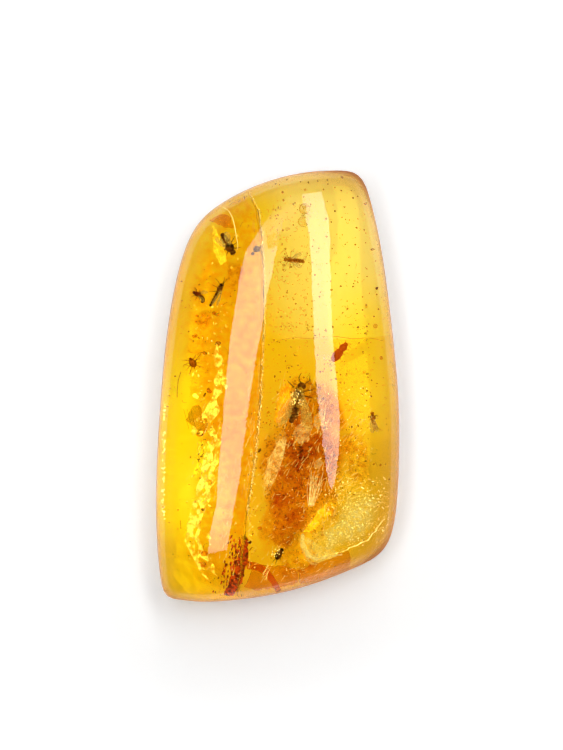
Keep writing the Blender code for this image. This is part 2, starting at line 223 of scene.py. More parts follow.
def new_group(name, inputs, outputs):
    group = bpy.data.node_groups.new(name, "ShaderNodeTree")
    for label, kind, value in inputs:
        socket = group.interface.new_socket(label, in_out="INPUT", socket_type="NodeSocket" + kind)
        if value is not None:
            socket.default_value = value
    for label, kind in outputs:
        group.interface.new_socket(label, in_out="OUTPUT", socket_type="NodeSocket" + kind)
    return group, group.nodes.new("NodeGroupInput"), group.nodes.new("NodeGroupOutput")


def math_node(tree, operation, *values, clamp=False):
    node = tree.nodes.new("ShaderNodeMath")
    node.operation = operation
    node.use_clamp = clamp
    for socket, value in zip(node.inputs, values):
        if isinstance(value, (int, float)):
            socket.default_value = value
        else:
            tree.links.new(value, socket)
    return node.outputs[0]


def noise_node(tree, where, scale=None, detail=2.0, roughness=0.5):
    node = tree.nodes.new("ShaderNodeTexNoise")
    node.inputs["Detail"].default_value = detail
    node.inputs["Roughness"].default_value = roughness
    if scale:
        node.inputs["Scale"].default_value = scale
    tree.links.new(where, node.inputs["Vector"])
    return node


def mapped(tree, value, start=None, end=None, to=(0.0, 1.0)):
    """A value carried from one range to another. start and end are numbers or sockets."""
    node = tree.nodes.new("ShaderNodeMapRange")
    tree.links.new(value, node.inputs["Value"])
    for label, bound in (("From Min", start), ("From Max", end)):
        if isinstance(bound, float):
            node.inputs[label].default_value = bound
        elif bound:
            tree.links.new(bound, node.inputs[label])
    node.inputs["To Min"].default_value, node.inputs["To Max"].default_value = to
    return node


def mixed(tree, mask, under, over, way="MIX"):
    """One colour over another by a mask. Each colour is a tuple or a socket."""
    node = tree.nodes.new("ShaderNodeMix")
    node.data_type = "RGBA"
    node.blend_type = way
    tree.links.new(mask, node.inputs[0])
    for socket, value in ((node.inputs[6], under), (node.inputs[7], over)):
        if isinstance(value, tuple):
            socket.default_value = (*value, 1)
        else:
            tree.links.new(value, socket)
    return node.outputs[2]


def grey_ramp(tree, value, stops, easing):
    """Greys at places from 0 to 1."""
    node = tree.nodes.new("ShaderNodeValToRGB")
    ramp = node.color_ramp
    ramp.interpolation = easing
    while len(ramp.elements) < len(stops):
        ramp.elements.new(1.0)
    for stop, (place, grey) in zip(ramp.elements, stops):
        stop.position = place
        stop.color = (grey, grey, grey, 1)
    tree.links.new(value, node.inputs[0])
    return node.outputs[0]


def kept_value(tree, name):
    """A value that the mesh keeps on its points."""
    node = tree.nodes.new("ShaderNodeAttribute")
    node.attribute_name = name
    return node.outputs["Fac"]


def add_relief(tree, height, depth):
    node = tree.nodes.new("ShaderNodeBump")
    node.inputs["Strength"].default_value = 1.0
    node.inputs["Distance"].default_value = depth
    tree.links.new(height, node.inputs["Height"])
    tree.links.new(node.outputs["Normal"], tree.nodes["Principled BSDF"].inputs["Normal"])


def zone_group():
    """A soft-edged oval: 1 inside it, 0 outside, with a ragged border."""
    group, given, out = new_group(
        "zone",
        (
            ("Vector", "Vector", None),
            ("Centre", "Vector", None),
            ("Size", "Vector", (1, 1, 1)),
            ("Softness", "Float", 0.5),
            ("Ragged", "Float", 0.15),
        ),
        (("Mask", "Float"),),
    )
    nodes, links = group.nodes, group.links
    ragged = noise_node(group, given.outputs["Vector"], FINE_GRAIN, 3.0)
    offset = nodes.new("ShaderNodeVectorMath")
    offset.operation = "SUBTRACT"
    links.new(given.outputs["Vector"], offset.inputs[0])
    links.new(given.outputs["Centre"], offset.inputs[1])
    scaled = nodes.new("ShaderNodeVectorMath")
    scaled.operation = "DIVIDE"
    links.new(offset.outputs[0], scaled.inputs[0])
    links.new(given.outputs["Size"], scaled.inputs[1])
    far = nodes.new("ShaderNodeVectorMath")
    far.operation = "LENGTH"
    links.new(scaled.outputs[0], far.inputs[0])
    wobble = math_node(group, "SUBTRACT", ragged.outputs["Fac"], 0.5)
    wobble = math_node(group, "MULTIPLY", wobble, given.outputs["Ragged"])
    distance = math_node(group, "ADD", far.outputs["Value"], wobble)
    inner = math_node(group, "SUBTRACT", 1.0, given.outputs["Softness"])
    outer = math_node(group, "ADD", 1.0, given.outputs["Softness"])
    fall = mapped(group, distance, inner, outer, (1.0, 0.0))
    fall.interpolation_type = "SMOOTHSTEP"
    links.new(fall.outputs["Result"], out.inputs["Mask"])
    return group


def mottle_group():
    """Two colours mixed by layered noise, and the same noise as a height."""
    group, given, out = new_group(
        "mottle",
        (
            ("Vector", "Vector", None),
            ("Light", "Color", (1, 1, 1, 1)),
            ("Dark", "Color", (0, 0, 0, 1)),
            ("Scale", "Float", 1000.0),
            ("Contrast", "Float", 0.25),
        ),
        (("Color", "Color"), ("Mask", "Float"), ("Height", "Float")),
    )
    cloud = noise_node(group, given.outputs["Vector"], detail=5.0, roughness=0.6)
    group.links.new(given.outputs["Scale"], cloud.inputs["Scale"])
    low = math_node(group, "SUBTRACT", 0.5, given.outputs["Contrast"])
    high = math_node(group, "ADD", 0.5, given.outputs["Contrast"])
    spread = mapped(group, cloud.outputs["Fac"], low, high).outputs["Result"]
    tone = mixed(group, spread, given.outputs["Dark"], given.outputs["Light"])
    for label, value in (("Color", tone), ("Mask", spread), ("Height", cloud.outputs["Fac"])):
        group.links.new(value, out.inputs[label])
    return group


def use_group(tree, group, vector, **values):
    node = tree.nodes.new("ShaderNodeGroup")
    node.node_tree = group
    tree.links.new(vector, node.inputs["Vector"])
    for key, value in values.items():
        node.inputs[key].default_value = value
    return node


def principled(name, colour, roughness, **values):
    made = bpy.data.materials.new(name)
    made.use_nodes = True
    shader = made.node_tree.nodes["Principled BSDF"]
    shader.inputs["Base Color"].default_value = (*colour, 1)
    shader.inputs["Roughness"].default_value = roughness
    for key, value in values.items():
        shader.inputs[key.replace("_", " ")].default_value = value
    return made


def object_place(tree):
    return tree.nodes.new("ShaderNodeTexCoord").outputs["Object"]


def mottled(
    name, mottle, light, dark, scale, contrast=0.25, roughness=0.4, bump=0.0, hide=None, glow=0.0, **values,
):
    """A Principled material in two mixed tones. hide is (least, most) opacity, following the noise, and glow is
    painted light: the strength with which the thing gives off light in its own colours, though it is no lamp."""
    made = principled(name, light, roughness, **values)
    tree = made.node_tree
    shader = tree.nodes["Principled BSDF"]
    shader.inputs["Emission Strength"].default_value = glow
    tones = use_group(
        tree, mottle, object_place(tree), Light=(*light, 1), Dark=(*dark, 1), Scale=scale, Contrast=contrast
    )
    tree.links.new(tones.outputs["Color"], shader.inputs["Base Color"])
    if glow:
        tree.links.new(tones.outputs["Color"], shader.inputs["Emission Color"])
    if bump:
        add_relief(tree, tones.outputs["Height"], bump)
    if hide:
        cover = mapped(tree, tones.outputs["Mask"], to=hide)
        tree.links.new(cover.outputs["Result"], shader.inputs["Alpha"])
    return made


GOLD = (0.95, 0.7, 0.03)

# Where the resin is another colour, and two places painted lighter where light gathers: centre and size in
# millimetres, softness, raggedness and tint.
AMBER_TINTS_AND_PAINTED_LIGHT = (
    ((6.0, 12.0), (7.2, 9.5), 0.25, 0.1, (0.965, 0.79, 0.2)),
    ((6.4, 13.0), (6.4, 9.5), 0.5, 0.2, (0.975, 0.89, 0.58)),
    ((7.8, 1.0), (3.4, 7.5), 0.5, 0.3, (0.97, 0.82, 0.12)),
    # Painted light: a brighter yellow band inside the left edge, where the rounded edge gathers light.
    ((-8.9, -6.5), (2.3, 10.5), 0.5, 0.3, (0.995, 0.9, 0.015)),
    ((-3.4, 14.5), (3.6, 4.5), 0.5, 0.4, (0.92, 0.73, 0.05)),
    ((2.0, -6.5), (5.4, 8.0), 0.6, 0.5, (0.92, 0.62, 0.05)),
    ((1.0, -19.0), (11.0, 4.4), 0.5, 0.3, (0.83, 0.54, 0.02)),
    ((8.1, -11.5), (4.6, 7.0), 0.5, 0.3, (0.73, 0.51, 0.04)),
    ((2.5, 20.2), (9.0, 2.6), 0.6, 0.2, (0.75, 0.56, 0.18)),
    ((-9.0, -17.0), (3.5, 3.4), 0.6, 0.2, (0.81, 0.62, 0.01)),
    ((-11.9, -3.0), (2.3, 16.0), 0.6, 0.2, (0.92, 0.68, 0.02)),
    # Painted light: a lighter patch round the bright glints low on the left.
    ((-6.0, -9.6), (1.8, 4.2), 0.4, 0.4, (0.99, 0.88, 0.07)),
    ((11.6, -3.0), (2.4, 13.0), 0.6, 0.2, (0.93, 0.63, 0.05)),
)

# A later flow of resin met this one along a level line, to the right of a point near the seam. It starts
# sharply there, and fades away downwards.
FLOW_LINE_MM = 4.4
FLOW_EDGE_MM, FLOW_FADE_MM = 0.12, 12.0
FLOW_START_MM, FLOW_SIDE_MM = 1.2, 0.3
FLOW_GRAIN, FLOW_BEND_MM = 90.0, 1.2
FLOW_COVER = 0.7
FLOW_TINT = (0.9, 0.67, 0.02)

# The colour lies deep in the stone: how strongly the surface takes it at a low and at a high place.
DEEP, SHALLOW = 1.6, 0.4
LOW_MM, HIGH_MM = 0.5, 5.0

# The darker rim colour round the edge, painted for how the steep rim refracts and reflects its surroundings, and its
# tint at each height of the surface.
RIM_PAINT_MM = ((0.0, 0.0), (0.1, 0.0), (1.4, 0.25), (3.4, 1.0), (4.6, 1.0), (5.5, 0.42), (7.7, 0.0))
BROWN_RIM_PAINT, GOLDEN_RIM_PAINT = (0.74, 0.43, 0.17), (0.91, 0.65, 0.22)
# The painted rim colour is brownest at one end and down one side: how strongly at the middle, and more for each
# millimetre along x and y.
RIM_PAINT_MIDDLE, RIM_PAINT_X, RIM_PAINT_Y = 0.6, 0.035, -0.005

# What the clear resin soaks up, and how deep the ripples of its polish are.
SOAK_COLOUR, SOAK_DENSITY = (0.99, 0.9, 0.12), 200.0
POLISH_DEPTH_MM = 0.007


def amber_material(zone):
    made = principled("amber", (1, 1, 1), 0.0, Transmission_Weight=1.0, IOR=REFRACTION)
    tree = made.node_tree
    nodes, links = tree.nodes, tree.links
    shader = nodes["Principled BSDF"]
    where = object_place(tree)
    flat = nodes.new("ShaderNodeVectorMath")
    flat.operation = "MULTIPLY"
    flat.inputs[1].default_value = (1, 1, 0)
    links.new(where, flat.inputs[0])

    colour = GOLD
    for centre, size, softness, ragged, tint in AMBER_TINTS_AND_PAINTED_LIGHT:
        spot = use_group(
            tree,
            zone,
            flat.outputs[0],
            Centre=(centre[0] * MM, centre[1] * MM, 0),
            Size=(size[0] * MM, size[1] * MM, 1),
            Softness=softness,
            Ragged=ragged,
        )
        colour = mixed(tree, spot.outputs["Mask"], colour, tint)

    split = nodes.new("ShaderNodeSeparateXYZ")
    links.new(where, split.inputs[0])
    wavy = noise_node(tree, where, FLOW_GRAIN)
    bend = math_node(tree, "MULTIPLY", math_node(tree, "SUBTRACT", wavy.outputs["Fac"], 0.5), FLOW_BEND_MM * MM)
    below = math_node(tree, "SUBTRACT", FLOW_LINE_MM * MM, math_node(tree, "ADD", split.outputs["Y"], bend))
    meets = math_node(tree, "DIVIDE", below, FLOW_EDGE_MM * MM, clamp=True)
    fades = math_node(tree, "SUBTRACT", 1.0, math_node(tree, "DIVIDE", below, FLOW_FADE_MM * MM), clamp=True)
    side = math_node(tree, "ADD", split.outputs["X"], FLOW_START_MM * MM)
    side = math_node(tree, "DIVIDE", side, FLOW_SIDE_MM * MM, clamp=True)
    flow = math_node(tree, "MULTIPLY", math_node(tree, "MULTIPLY", meets, fades), side)
    colour = mixed(tree, math_node(tree, "MULTIPLY", flow, FLOW_COVER), colour, FLOW_TINT)

    depth = mapped(tree, split.outputs["Z"], LOW_MM * MM, HIGH_MM * MM, (DEEP, SHALLOW))
    deepened = nodes.new("ShaderNodeGamma")
    links.new(colour, deepened.inputs["Color"])
    links.new(depth.outputs["Result"], deepened.inputs["Gamma"])
    colour = deepened.outputs[0]

    # A thin, darker band of painted colour round the edge, standing in for how the steep rim refracts and reflects its
    # surroundings.
    level = math_node(tree, "DIVIDE", split.outputs["Z"], HEIGHT)
    rind = grey_ramp(tree, level, [(height * MM / HEIGHT, tint) for height, tint in RIM_PAINT_MM], "EASE")
    thick = math_node(tree, "MULTIPLY_ADD", split.outputs["X"], RIM_PAINT_X / MM, RIM_PAINT_MIDDLE)
    thick = math_node(tree, "MULTIPLY_ADD", split.outputs["Y"], RIM_PAINT_Y / MM, thick)
    tint = mixed(tree, math_node(tree, "MAXIMUM", thick, 0.0, clamp=True), GOLDEN_RIM_PAINT, BROWN_RIM_PAINT)
    links.new(mixed(tree, rind, colour, tint, "MULTIPLY"), shader.inputs["Base Color"])

    # The polish is not perfectly even.
    add_relief(tree, noise_node(tree, where, FINE_GRAIN, 3.0, 0.6).outputs["Fac"], POLISH_DEPTH_MM * MM)

    soak = nodes.new("ShaderNodeVolumeAbsorption")
    soak.inputs["Color"].default_value = (*SOAK_COLOUR, 1)
    soak.inputs["Density"].default_value = SOAK_DENSITY
    links.new(soak.outputs["Volume"], nodes["Material Output"].inputs["Volume"])
    return made


# ---------------------------------------------------------------- mesh helpers


def new_piece(name, bm, finish, slot, replaces=(), smooth_under=40):
    mesh = bpy.data.meshes.new(name)
    bm.to_mesh(mesh)
    bm.free()
    mesh.materials.append(finish)
    mesh.shade_smooth()
    mesh.set_sharp_from_angle(angle=math.radians(smooth_under))
    made = bpy.data.objects.new(name, mesh)
    bpy.context.scene.collection.objects.link(made)
    if slot:
        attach(made, "root")
    if replaces:
        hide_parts(*replaces)
    return made


def nested_rings(bm, rings, layer, values):
    """A sheet of rings one outside another, from the innermost, with a value kept on each ring's points."""
    kept = bm.verts.layers.float.get(layer) or bm.verts.layers.float.new(layer)
    edge = [bm.verts.new(p) for p in rings[0]]
    bm.faces.new(edge)
    for vert in edge:
        vert[kept] = values[0]
    for points, value in zip(rings[1:], values[1:]):
        border = [bm.edges.get((edge[i - 1], edge[i])) for i in range(len(edge))]
        grown = bmesh.ops.extrude_edge_only(bm, edges=border)["geom"]
        fresh = {g for g in grown if isinstance(g, bmesh.types.BMVert)}
        edge = [next(e.other_vert(v) for e in v.link_edges if e.other_vert(v) in fresh) for v in edge]
        for vert, point in zip(edge, points):
            vert.co = point
            vert[kept] = value


def stamp(bm, shape, inside_out=False):
    """Adds a small shape to a larger one. A hollow goes in inside out."""
    if inside_out:
        bmesh.ops.reverse_faces(shape, faces=shape.faces)
    held = bpy.data.meshes.new("held")
    shape.to_mesh(held)
    shape.free()
    bm.from_mesh(held)
    bpy.data.meshes.remove(held)


def ball(bm, centre, size, sides=18, rings=12):
    """An ellipsoid of these full sizes, in millimetres."""
    where = Matrix.Translation(Vector(centre) * MM)
    stretch = Matrix.Diagonal((*(Vector(size) * MM / 2), 1))
    lie_along_y = Matrix.Rotation(math.pi / 2, 4, "X")
    shape = bmesh.new()
    bmesh.ops.create_uvsphere(
        shape, u_segments=sides, v_segments=rings, radius=1, matrix=where @ stretch @ lie_along_y
    )
    stamp(bm, shape)


def rod(bm, start, end, thick_start, thick_end, sides=7):
    start, end = Vector(start) * MM, Vector(end) * MM
    turn = (end - start).to_track_quat("Z", "X").to_matrix().to_4x4()
    shape = bmesh.new()
    bmesh.ops.create_cone(
        shape,
        cap_ends=True,
        segments=sides,
        radius1=thick_start * MM / 2,
        radius2=thick_end * MM / 2,
        depth=(end - start).length,
        matrix=Matrix.Translation((start + end) / 2) @ turn,
    )
    stamp(bm, shape)


def limb(bm, points, thick, least=0.25):
    """A jointed leg or antenna through these points, thinner at each joint and with small knobs at the joints."""
    count = len(points) - 1
    for i in range(count):
        here = thick * (1 - (1 - least) * i / count)
        after = thick * (1 - (1 - least) * (i + 1) / count)
        rod(bm, points[i], points[i + 1], here, after)
        ball(bm, points[i + 1], (after * 1.25,) * 3, sides=6, rings=5)


def legs(bm, roots, reach, drop, thick):
    for i, (x, y, z) in enumerate(roots):
        swing = (1 - i) * 0.55 * reach
        for side in (-1, 1):
            hip = (side * x, y, z)
            knee = (side * (x + 0.5 * reach), y + 0.42 * swing, z + 0.12)
            ankle = (side * (x + 0.82 * reach), y + 0.8 * swing, z - 0.6 * drop)
            foot = (side * (x + reach), y + swing, z - drop)
            limb(bm, (hip, knee, ankle, foot), thick)


def bristles(bm, centre, size, count, length, seed):
    """Short stiff hairs standing out of an ellipsoid."""
    pick = np.random.default_rng(seed)
    for _ in range(count):
        out = Vector(pick.normal(size=3)).normalized()
        root = Vector([centre[k] + out[k] * size[k] * 0.48 for k in range(3)])
        rod(bm, root, root + (out + Vector((0, -0.4, 0))) * length, 0.022, 0.006, sides=3)


MEMBRANE_MM = 0.02
VEIN_TIPS = ((0.45, 0.98), (0.3, 1.0), (0.12, 0.99), (-0.08, 0.96), (-0.26, 0.82))
WING_OUTLINE = (
    (0, 0), (0.3, 0.34), (0.62, 0.52), (0.88, 0.42), (1.0, 0.12), (0.97, -0.16), (0.75, -0.38), (0.4, -0.34),
    (0.15, -0.16),
)


def wing_matrix(root, splay):
    return Matrix.Translation(Vector(root) * MM) @ Matrix.Rotation(math.radians(splay), 4, "Z")


def wing(bm, root, length, breadth, splay):
    """A thin wing membrane from its root back along -Y."""
    smooth = closed_spline(WING_OUTLINE, 30)
    corners = [bm.verts.new((across * breadth * MM, -along * length * MM, 0)) for along, across in smooth]
    face = bm.faces.new(corners)
    spokes = bmesh.ops.poke(bm, faces=[face])
    top = bmesh.ops.extrude_face_region(bm, geom=spokes["faces"])["geom"]
    raised = [g for g in top if isinstance(g, bmesh.types.BMVert)]
    bmesh.ops.translate(bm, verts=raised, vec=(0, 0, MEMBRANE_MM * MM))
    whole = corners + spokes["verts"] + raised
    for vert in whole:
        vert.co.z += 0.05 * breadth * MM * math.sin(vert.co.y / (length * MM) * 9 + vert.co.x / MM * 3)
    bmesh.ops.transform(bm, verts=whole, matrix=wing_matrix(root, splay))


def veins(bm, root, length, breadth, splay, thick):
    """The ribs of a wing: a strong leading edge and four that fan out across it."""
    fan = bmesh.new()
    for k, (across, along) in enumerate(VEIN_TIPS):
        bend = 0.75 * across + 0.12
        path = [
            (t * (bend * (1 - t) * 1.6 + across * t) * breadth, -t * along * length, 0.02)
            for t in np.linspace(0, 1, 7)
        ]
        for a, b in zip(path, path[1:]):
            rod(fan, a, b, thick * (1.3 if k == 0 else 0.8), thick * 0.7, sides=4)
    bmesh.ops.transform(fan, verts=fan.verts, matrix=wing_matrix(root, splay))
    stamp(bm, fan)


def ribbed_wing(bm, root, length, breadth, splay, thick=0.035):
    wing(bm, root, length, breadth, splay)
    veins(bm, root, length, breadth, splay, thick)


# Where each insect lies in millimetres, and how it is turned round the z axis and its own length.
INSECT_PLACES = {
    "fly": ((-4.25, 12.85, 4.9), -149, 20),
    "gnat": ((-5.2, 8.4, 4.6), -26, 62),
    "curled_gnat": ((-6.6, 8.35, 3.7), 62, 24),
    "midge": ((1.45, 11.55, 4.8), 84, -12),
    "beetle": ((5.45, 3.15, 5.6), -38, 8),
    "mite": ((-7.2, 2.1, 3.9), 25, 0),
    "small_fly": ((8.3, -3.25, 4.2), 9, -15),
    "springtail": ((-0.05, -15.1, 3.9), -33, 0),
    "winged_ant": ((1.8, -1.2, 5.5), -16, 10),
}


def settle(bm, name):
    """Moves everything in a bmesh to its insect's place in the stone."""
    at_mm, yaw, roll = INSECT_PLACES[name]
    turn = Euler((0, math.radians(roll), math.radians(yaw))).to_matrix().to_4x4()
    bmesh.ops.transform(bm, verts=bm.verts, matrix=Matrix.Translation(Vector(at_mm) * MM) @ turn)


def insect(name, body_finish, wing_finish, slot, build_body, build_wings=None):
    """One insect: its opaque body with legs, and its see-through wings, as two pieces that stand for its node."""
    bm = bmesh.new()
    build_body(bm)
    settle(bm, name)
    new_piece(name + "_body", bm, body_finish, slot, (name,))
    if build_wings:
        bm = bmesh.new()
        build_wings(bm)
        settle(bm, name)
        bmesh.ops.recalc_face_normals(bm, faces=bm.faces)
        new_piece(name + "_wings", bm, wing_finish, "wing_membrane", (name,))


# ---------------------------------------------------------------- hollows in the amber


def bubble(bm, centre, radius, flat=1.0, fineness=2):
    shape = bmesh.new()
    where = Matrix.Translation(Vector(centre) * MM) @ Matrix.Diagonal((1, 1, flat, 1))
    bmesh.ops.create_icosphere(shape, subdivisions=fineness, radius=radius * MM, matrix=where)
    stamp(bm, shape, inside_out=True)


def crack(bm, centre, size, turn, wave, grain, seed, thick=0.03, sides=22, rings=14):
    """A thin, wavy, lens-shaped hollow. size is its length and breadth in millimetres and turn its Euler angles."""
    shape = bmesh.new()
    bmesh.ops.create_uvsphere(shape, u_segments=sides, v_segments=rings, radius=1)
    for vert in shape.verts:
        x, y, z = vert.co
        edge = 1 + 0.25 * noise.noise(Vector((x * 1.5, y * 1.5, seed)))
        lift = wave * noise.noise(Vector((x * grain, y * grain, seed + 7.3)))
        lift += 0.35 * wave * noise.noise(Vector((x * grain * 3, y * grain * 3, seed + 1.3)))
        vert.co = Vector((x * size[0] / 2 * edge, y * size[1] / 2 * edge, z * thick / 2 + lift)) * MM
    spin = Euler([math.radians(a) for a in turn]).to_matrix().to_4x4()
    bmesh.ops.transform(shape, verts=shape.verts, matrix=Matrix.Translation(Vector(centre) * MM) @ spin)
    stamp(bm, shape, inside_out=True)


def along_path(path, share):
    """The point at a share of the way along a path of points."""
    points = np.array(path, dtype=float)
    run = np.concatenate([[0], np.cumsum(np.linalg.norm(np.diff(points, axis=0), axis=1))])
    return [float(np.interp(share * run[-1], run, points[:, k])) for k in range(points.shape[1])]


def seam(bm, dome, path, depth, lean, thick, wave, seed, sides=24, rings=170):
    """A long, nearly upright healed crack that follows a path, standing between two heights."""
    shape = bmesh.new()
    bmesh.ops.create_uvsphere(shape, u_segments=sides, v_segments=rings, radius=1)
    for vert in shape.verts:
        across, up, along = vert.co
        x, y = along_path(path, (along + 1) / 2)
        fill = math.sqrt(max(1 - along * along, 1e-9))
        z = (depth[0] + depth[1]) / 2 + (depth[1] - depth[0]) / 2 * up / max(fill, 1e-6) * min(1, fill * 2.4)
        x += lean * (z - depth[1])
        x += wave * noise.noise(Vector((y * 0.5, z * 1.2, seed)))
        x += 0.5 * wave * noise.noise(Vector((y * 1.1, z * 5, seed + 3)))
        x += across * thick / 2
        z = min(z, dome.height(x, y) - 0.4)
        vert.co = Vector((x, y, z)) * MM
    stamp(bm, shape, inside_out=True)


RING_BUBBLES = (
    (2.5, 16.4, 0.5), (2.37, 15.2, 0.47), (2.95, 15.7, 0.2), (3.15, 16.2, 0.12), (0.9, 14.55, 0.17),
    (2.55, 18.2, 0.12), (5.35, 12.3, 0.13), (8.2, 7.4, 0.14), (9.05, 5.6, 0.22), (3.75, 2.65, 0.19),
    (3.85, 3.6, 0.14), (2.0, 3.6, 0.12), (8.0, 1.35, 0.14), (9.6, 2.65, 0.18), (3.1, 11.3, 0.13),
    (2.55, 11.85, 0.15),
)

SEAM_PATH = (
    (-3.6, -19.3), (-3.2, -15.6), (-2.65, -11.0), (-2.0, -6.5), (-1.5, -1.25), (-1.2, 5.25), (-1.15, 9.5),
    (-1.3, 13.6), (-1.7, 16.2), (-2.6, 17.9),
)

FOIL_PATH = (
    (-5.6, 3.9), (-5.2, 0.4), (-5.9, -1.3), (-6.3, -3.3), (-6.0, -5.0), (-6.8, -8.1), (-7.4, -10.4),
    (-8.0, -12.6), (-8.2, -14.3), (-7.6, -16.1), (-6.3, -18.0),
)


def hollows(bm, dome):
    """Every bubble and crack in the amber."""
    for x, y, radius in RING_BUBBLES:
        z = dome.height(x, y) - 1.5
        bubble(bm, dome.under(x, y, z), radius, 0.16, fineness=3)
    pick = np.random.default_rng(5)
    for _ in range(330):
        x, y = pick.uniform(-0.7, 8.6), pick.uniform(-4, 18.6)
        top = dome.height(x, y)
        radius = pick.uniform(0.03, 0.1) * pick.uniform(0.7, 1.2)
        if top < 5.4:
            continue
        bubble(bm, (x, y, pick.uniform(2.0, top - 0.8)), radius)
    for _ in range(130):
        x, y = pick.uniform(-9.6, 9.8), pick.uniform(-17.5, 12)
        top = dome.height(x, y)
        radius = pick.uniform(0.03, 0.08)
        if top < 5.4:
            continue
        bubble(bm, (x, y, pick.uniform(1.5, top - 0.8)), radius)

    seam(bm, dome, SEAM_PATH, (5.2, 7.4), 0.1, 0.02, 0.12, 4.0)
    for step in range(210):
        x, y = along_path(SEAM_PATH, step / 209)
        x += pick.normal() * 0.07
        radius = pick.uniform(0.02, 0.065)
        top = dome.height(x, y)
        bubble(bm, (x + 0.1, y, min(7.6, top - 0.5)), radius)

    # Flat flakes of trapped air: where they lie, how many, their size and how steeply they tip.
    swarms = (
        ((-7.0, -8.0), (0.8, 9.5), 14, (0.25, 0.8), 40), ((-6.4, 4.6), (1.3, 3.2), 8, (0.2, 0.6), 40),
        ((7.4, -10.2), (2.8, 3.4), 20, (0.08, 0.3), 60), ((2.0, -5.6), (2.6, 3.4), 16, (0.12, 0.4), 60),
        ((-2.1, -9.5), (0.5, 8.0), 12, (0.15, 0.6), 75),
    )
    for number, (middle, spread, count, size, steep) in enumerate(swarms):
        for i in range(count):
            x = middle[0] + spread[0] * pick.uniform(-1, 1)
            y = middle[1] + spread[1] * pick.uniform(-1, 1)
            long = pick.uniform(*size)
            shape = (long, long * pick.uniform(0.4, 0.9))
            turn = (pick.uniform(-steep, steep), pick.uniform(-steep, steep), pick.uniform(0, 180))
            z = pick.uniform(2.4, 5.0)
            crack(bm, dome.under(x, y, z), shape, turn, 0.12 * long, 2.2, i * 3.7 + number, sides=14, rings=9)

    # The silvery film of air round the ant.
    for _ in range(26):
        spot = Vector(pick.normal(size=3)).normalized()
        at = dome.under(1.85 + spot.x * 0.55, -1.0 + spot.y * 0.9, 6.1 + 0.25 * spot.z)
        bubble(bm, at, pick.uniform(0.06, 0.26))


# ---------------------------------------------------------------- insects


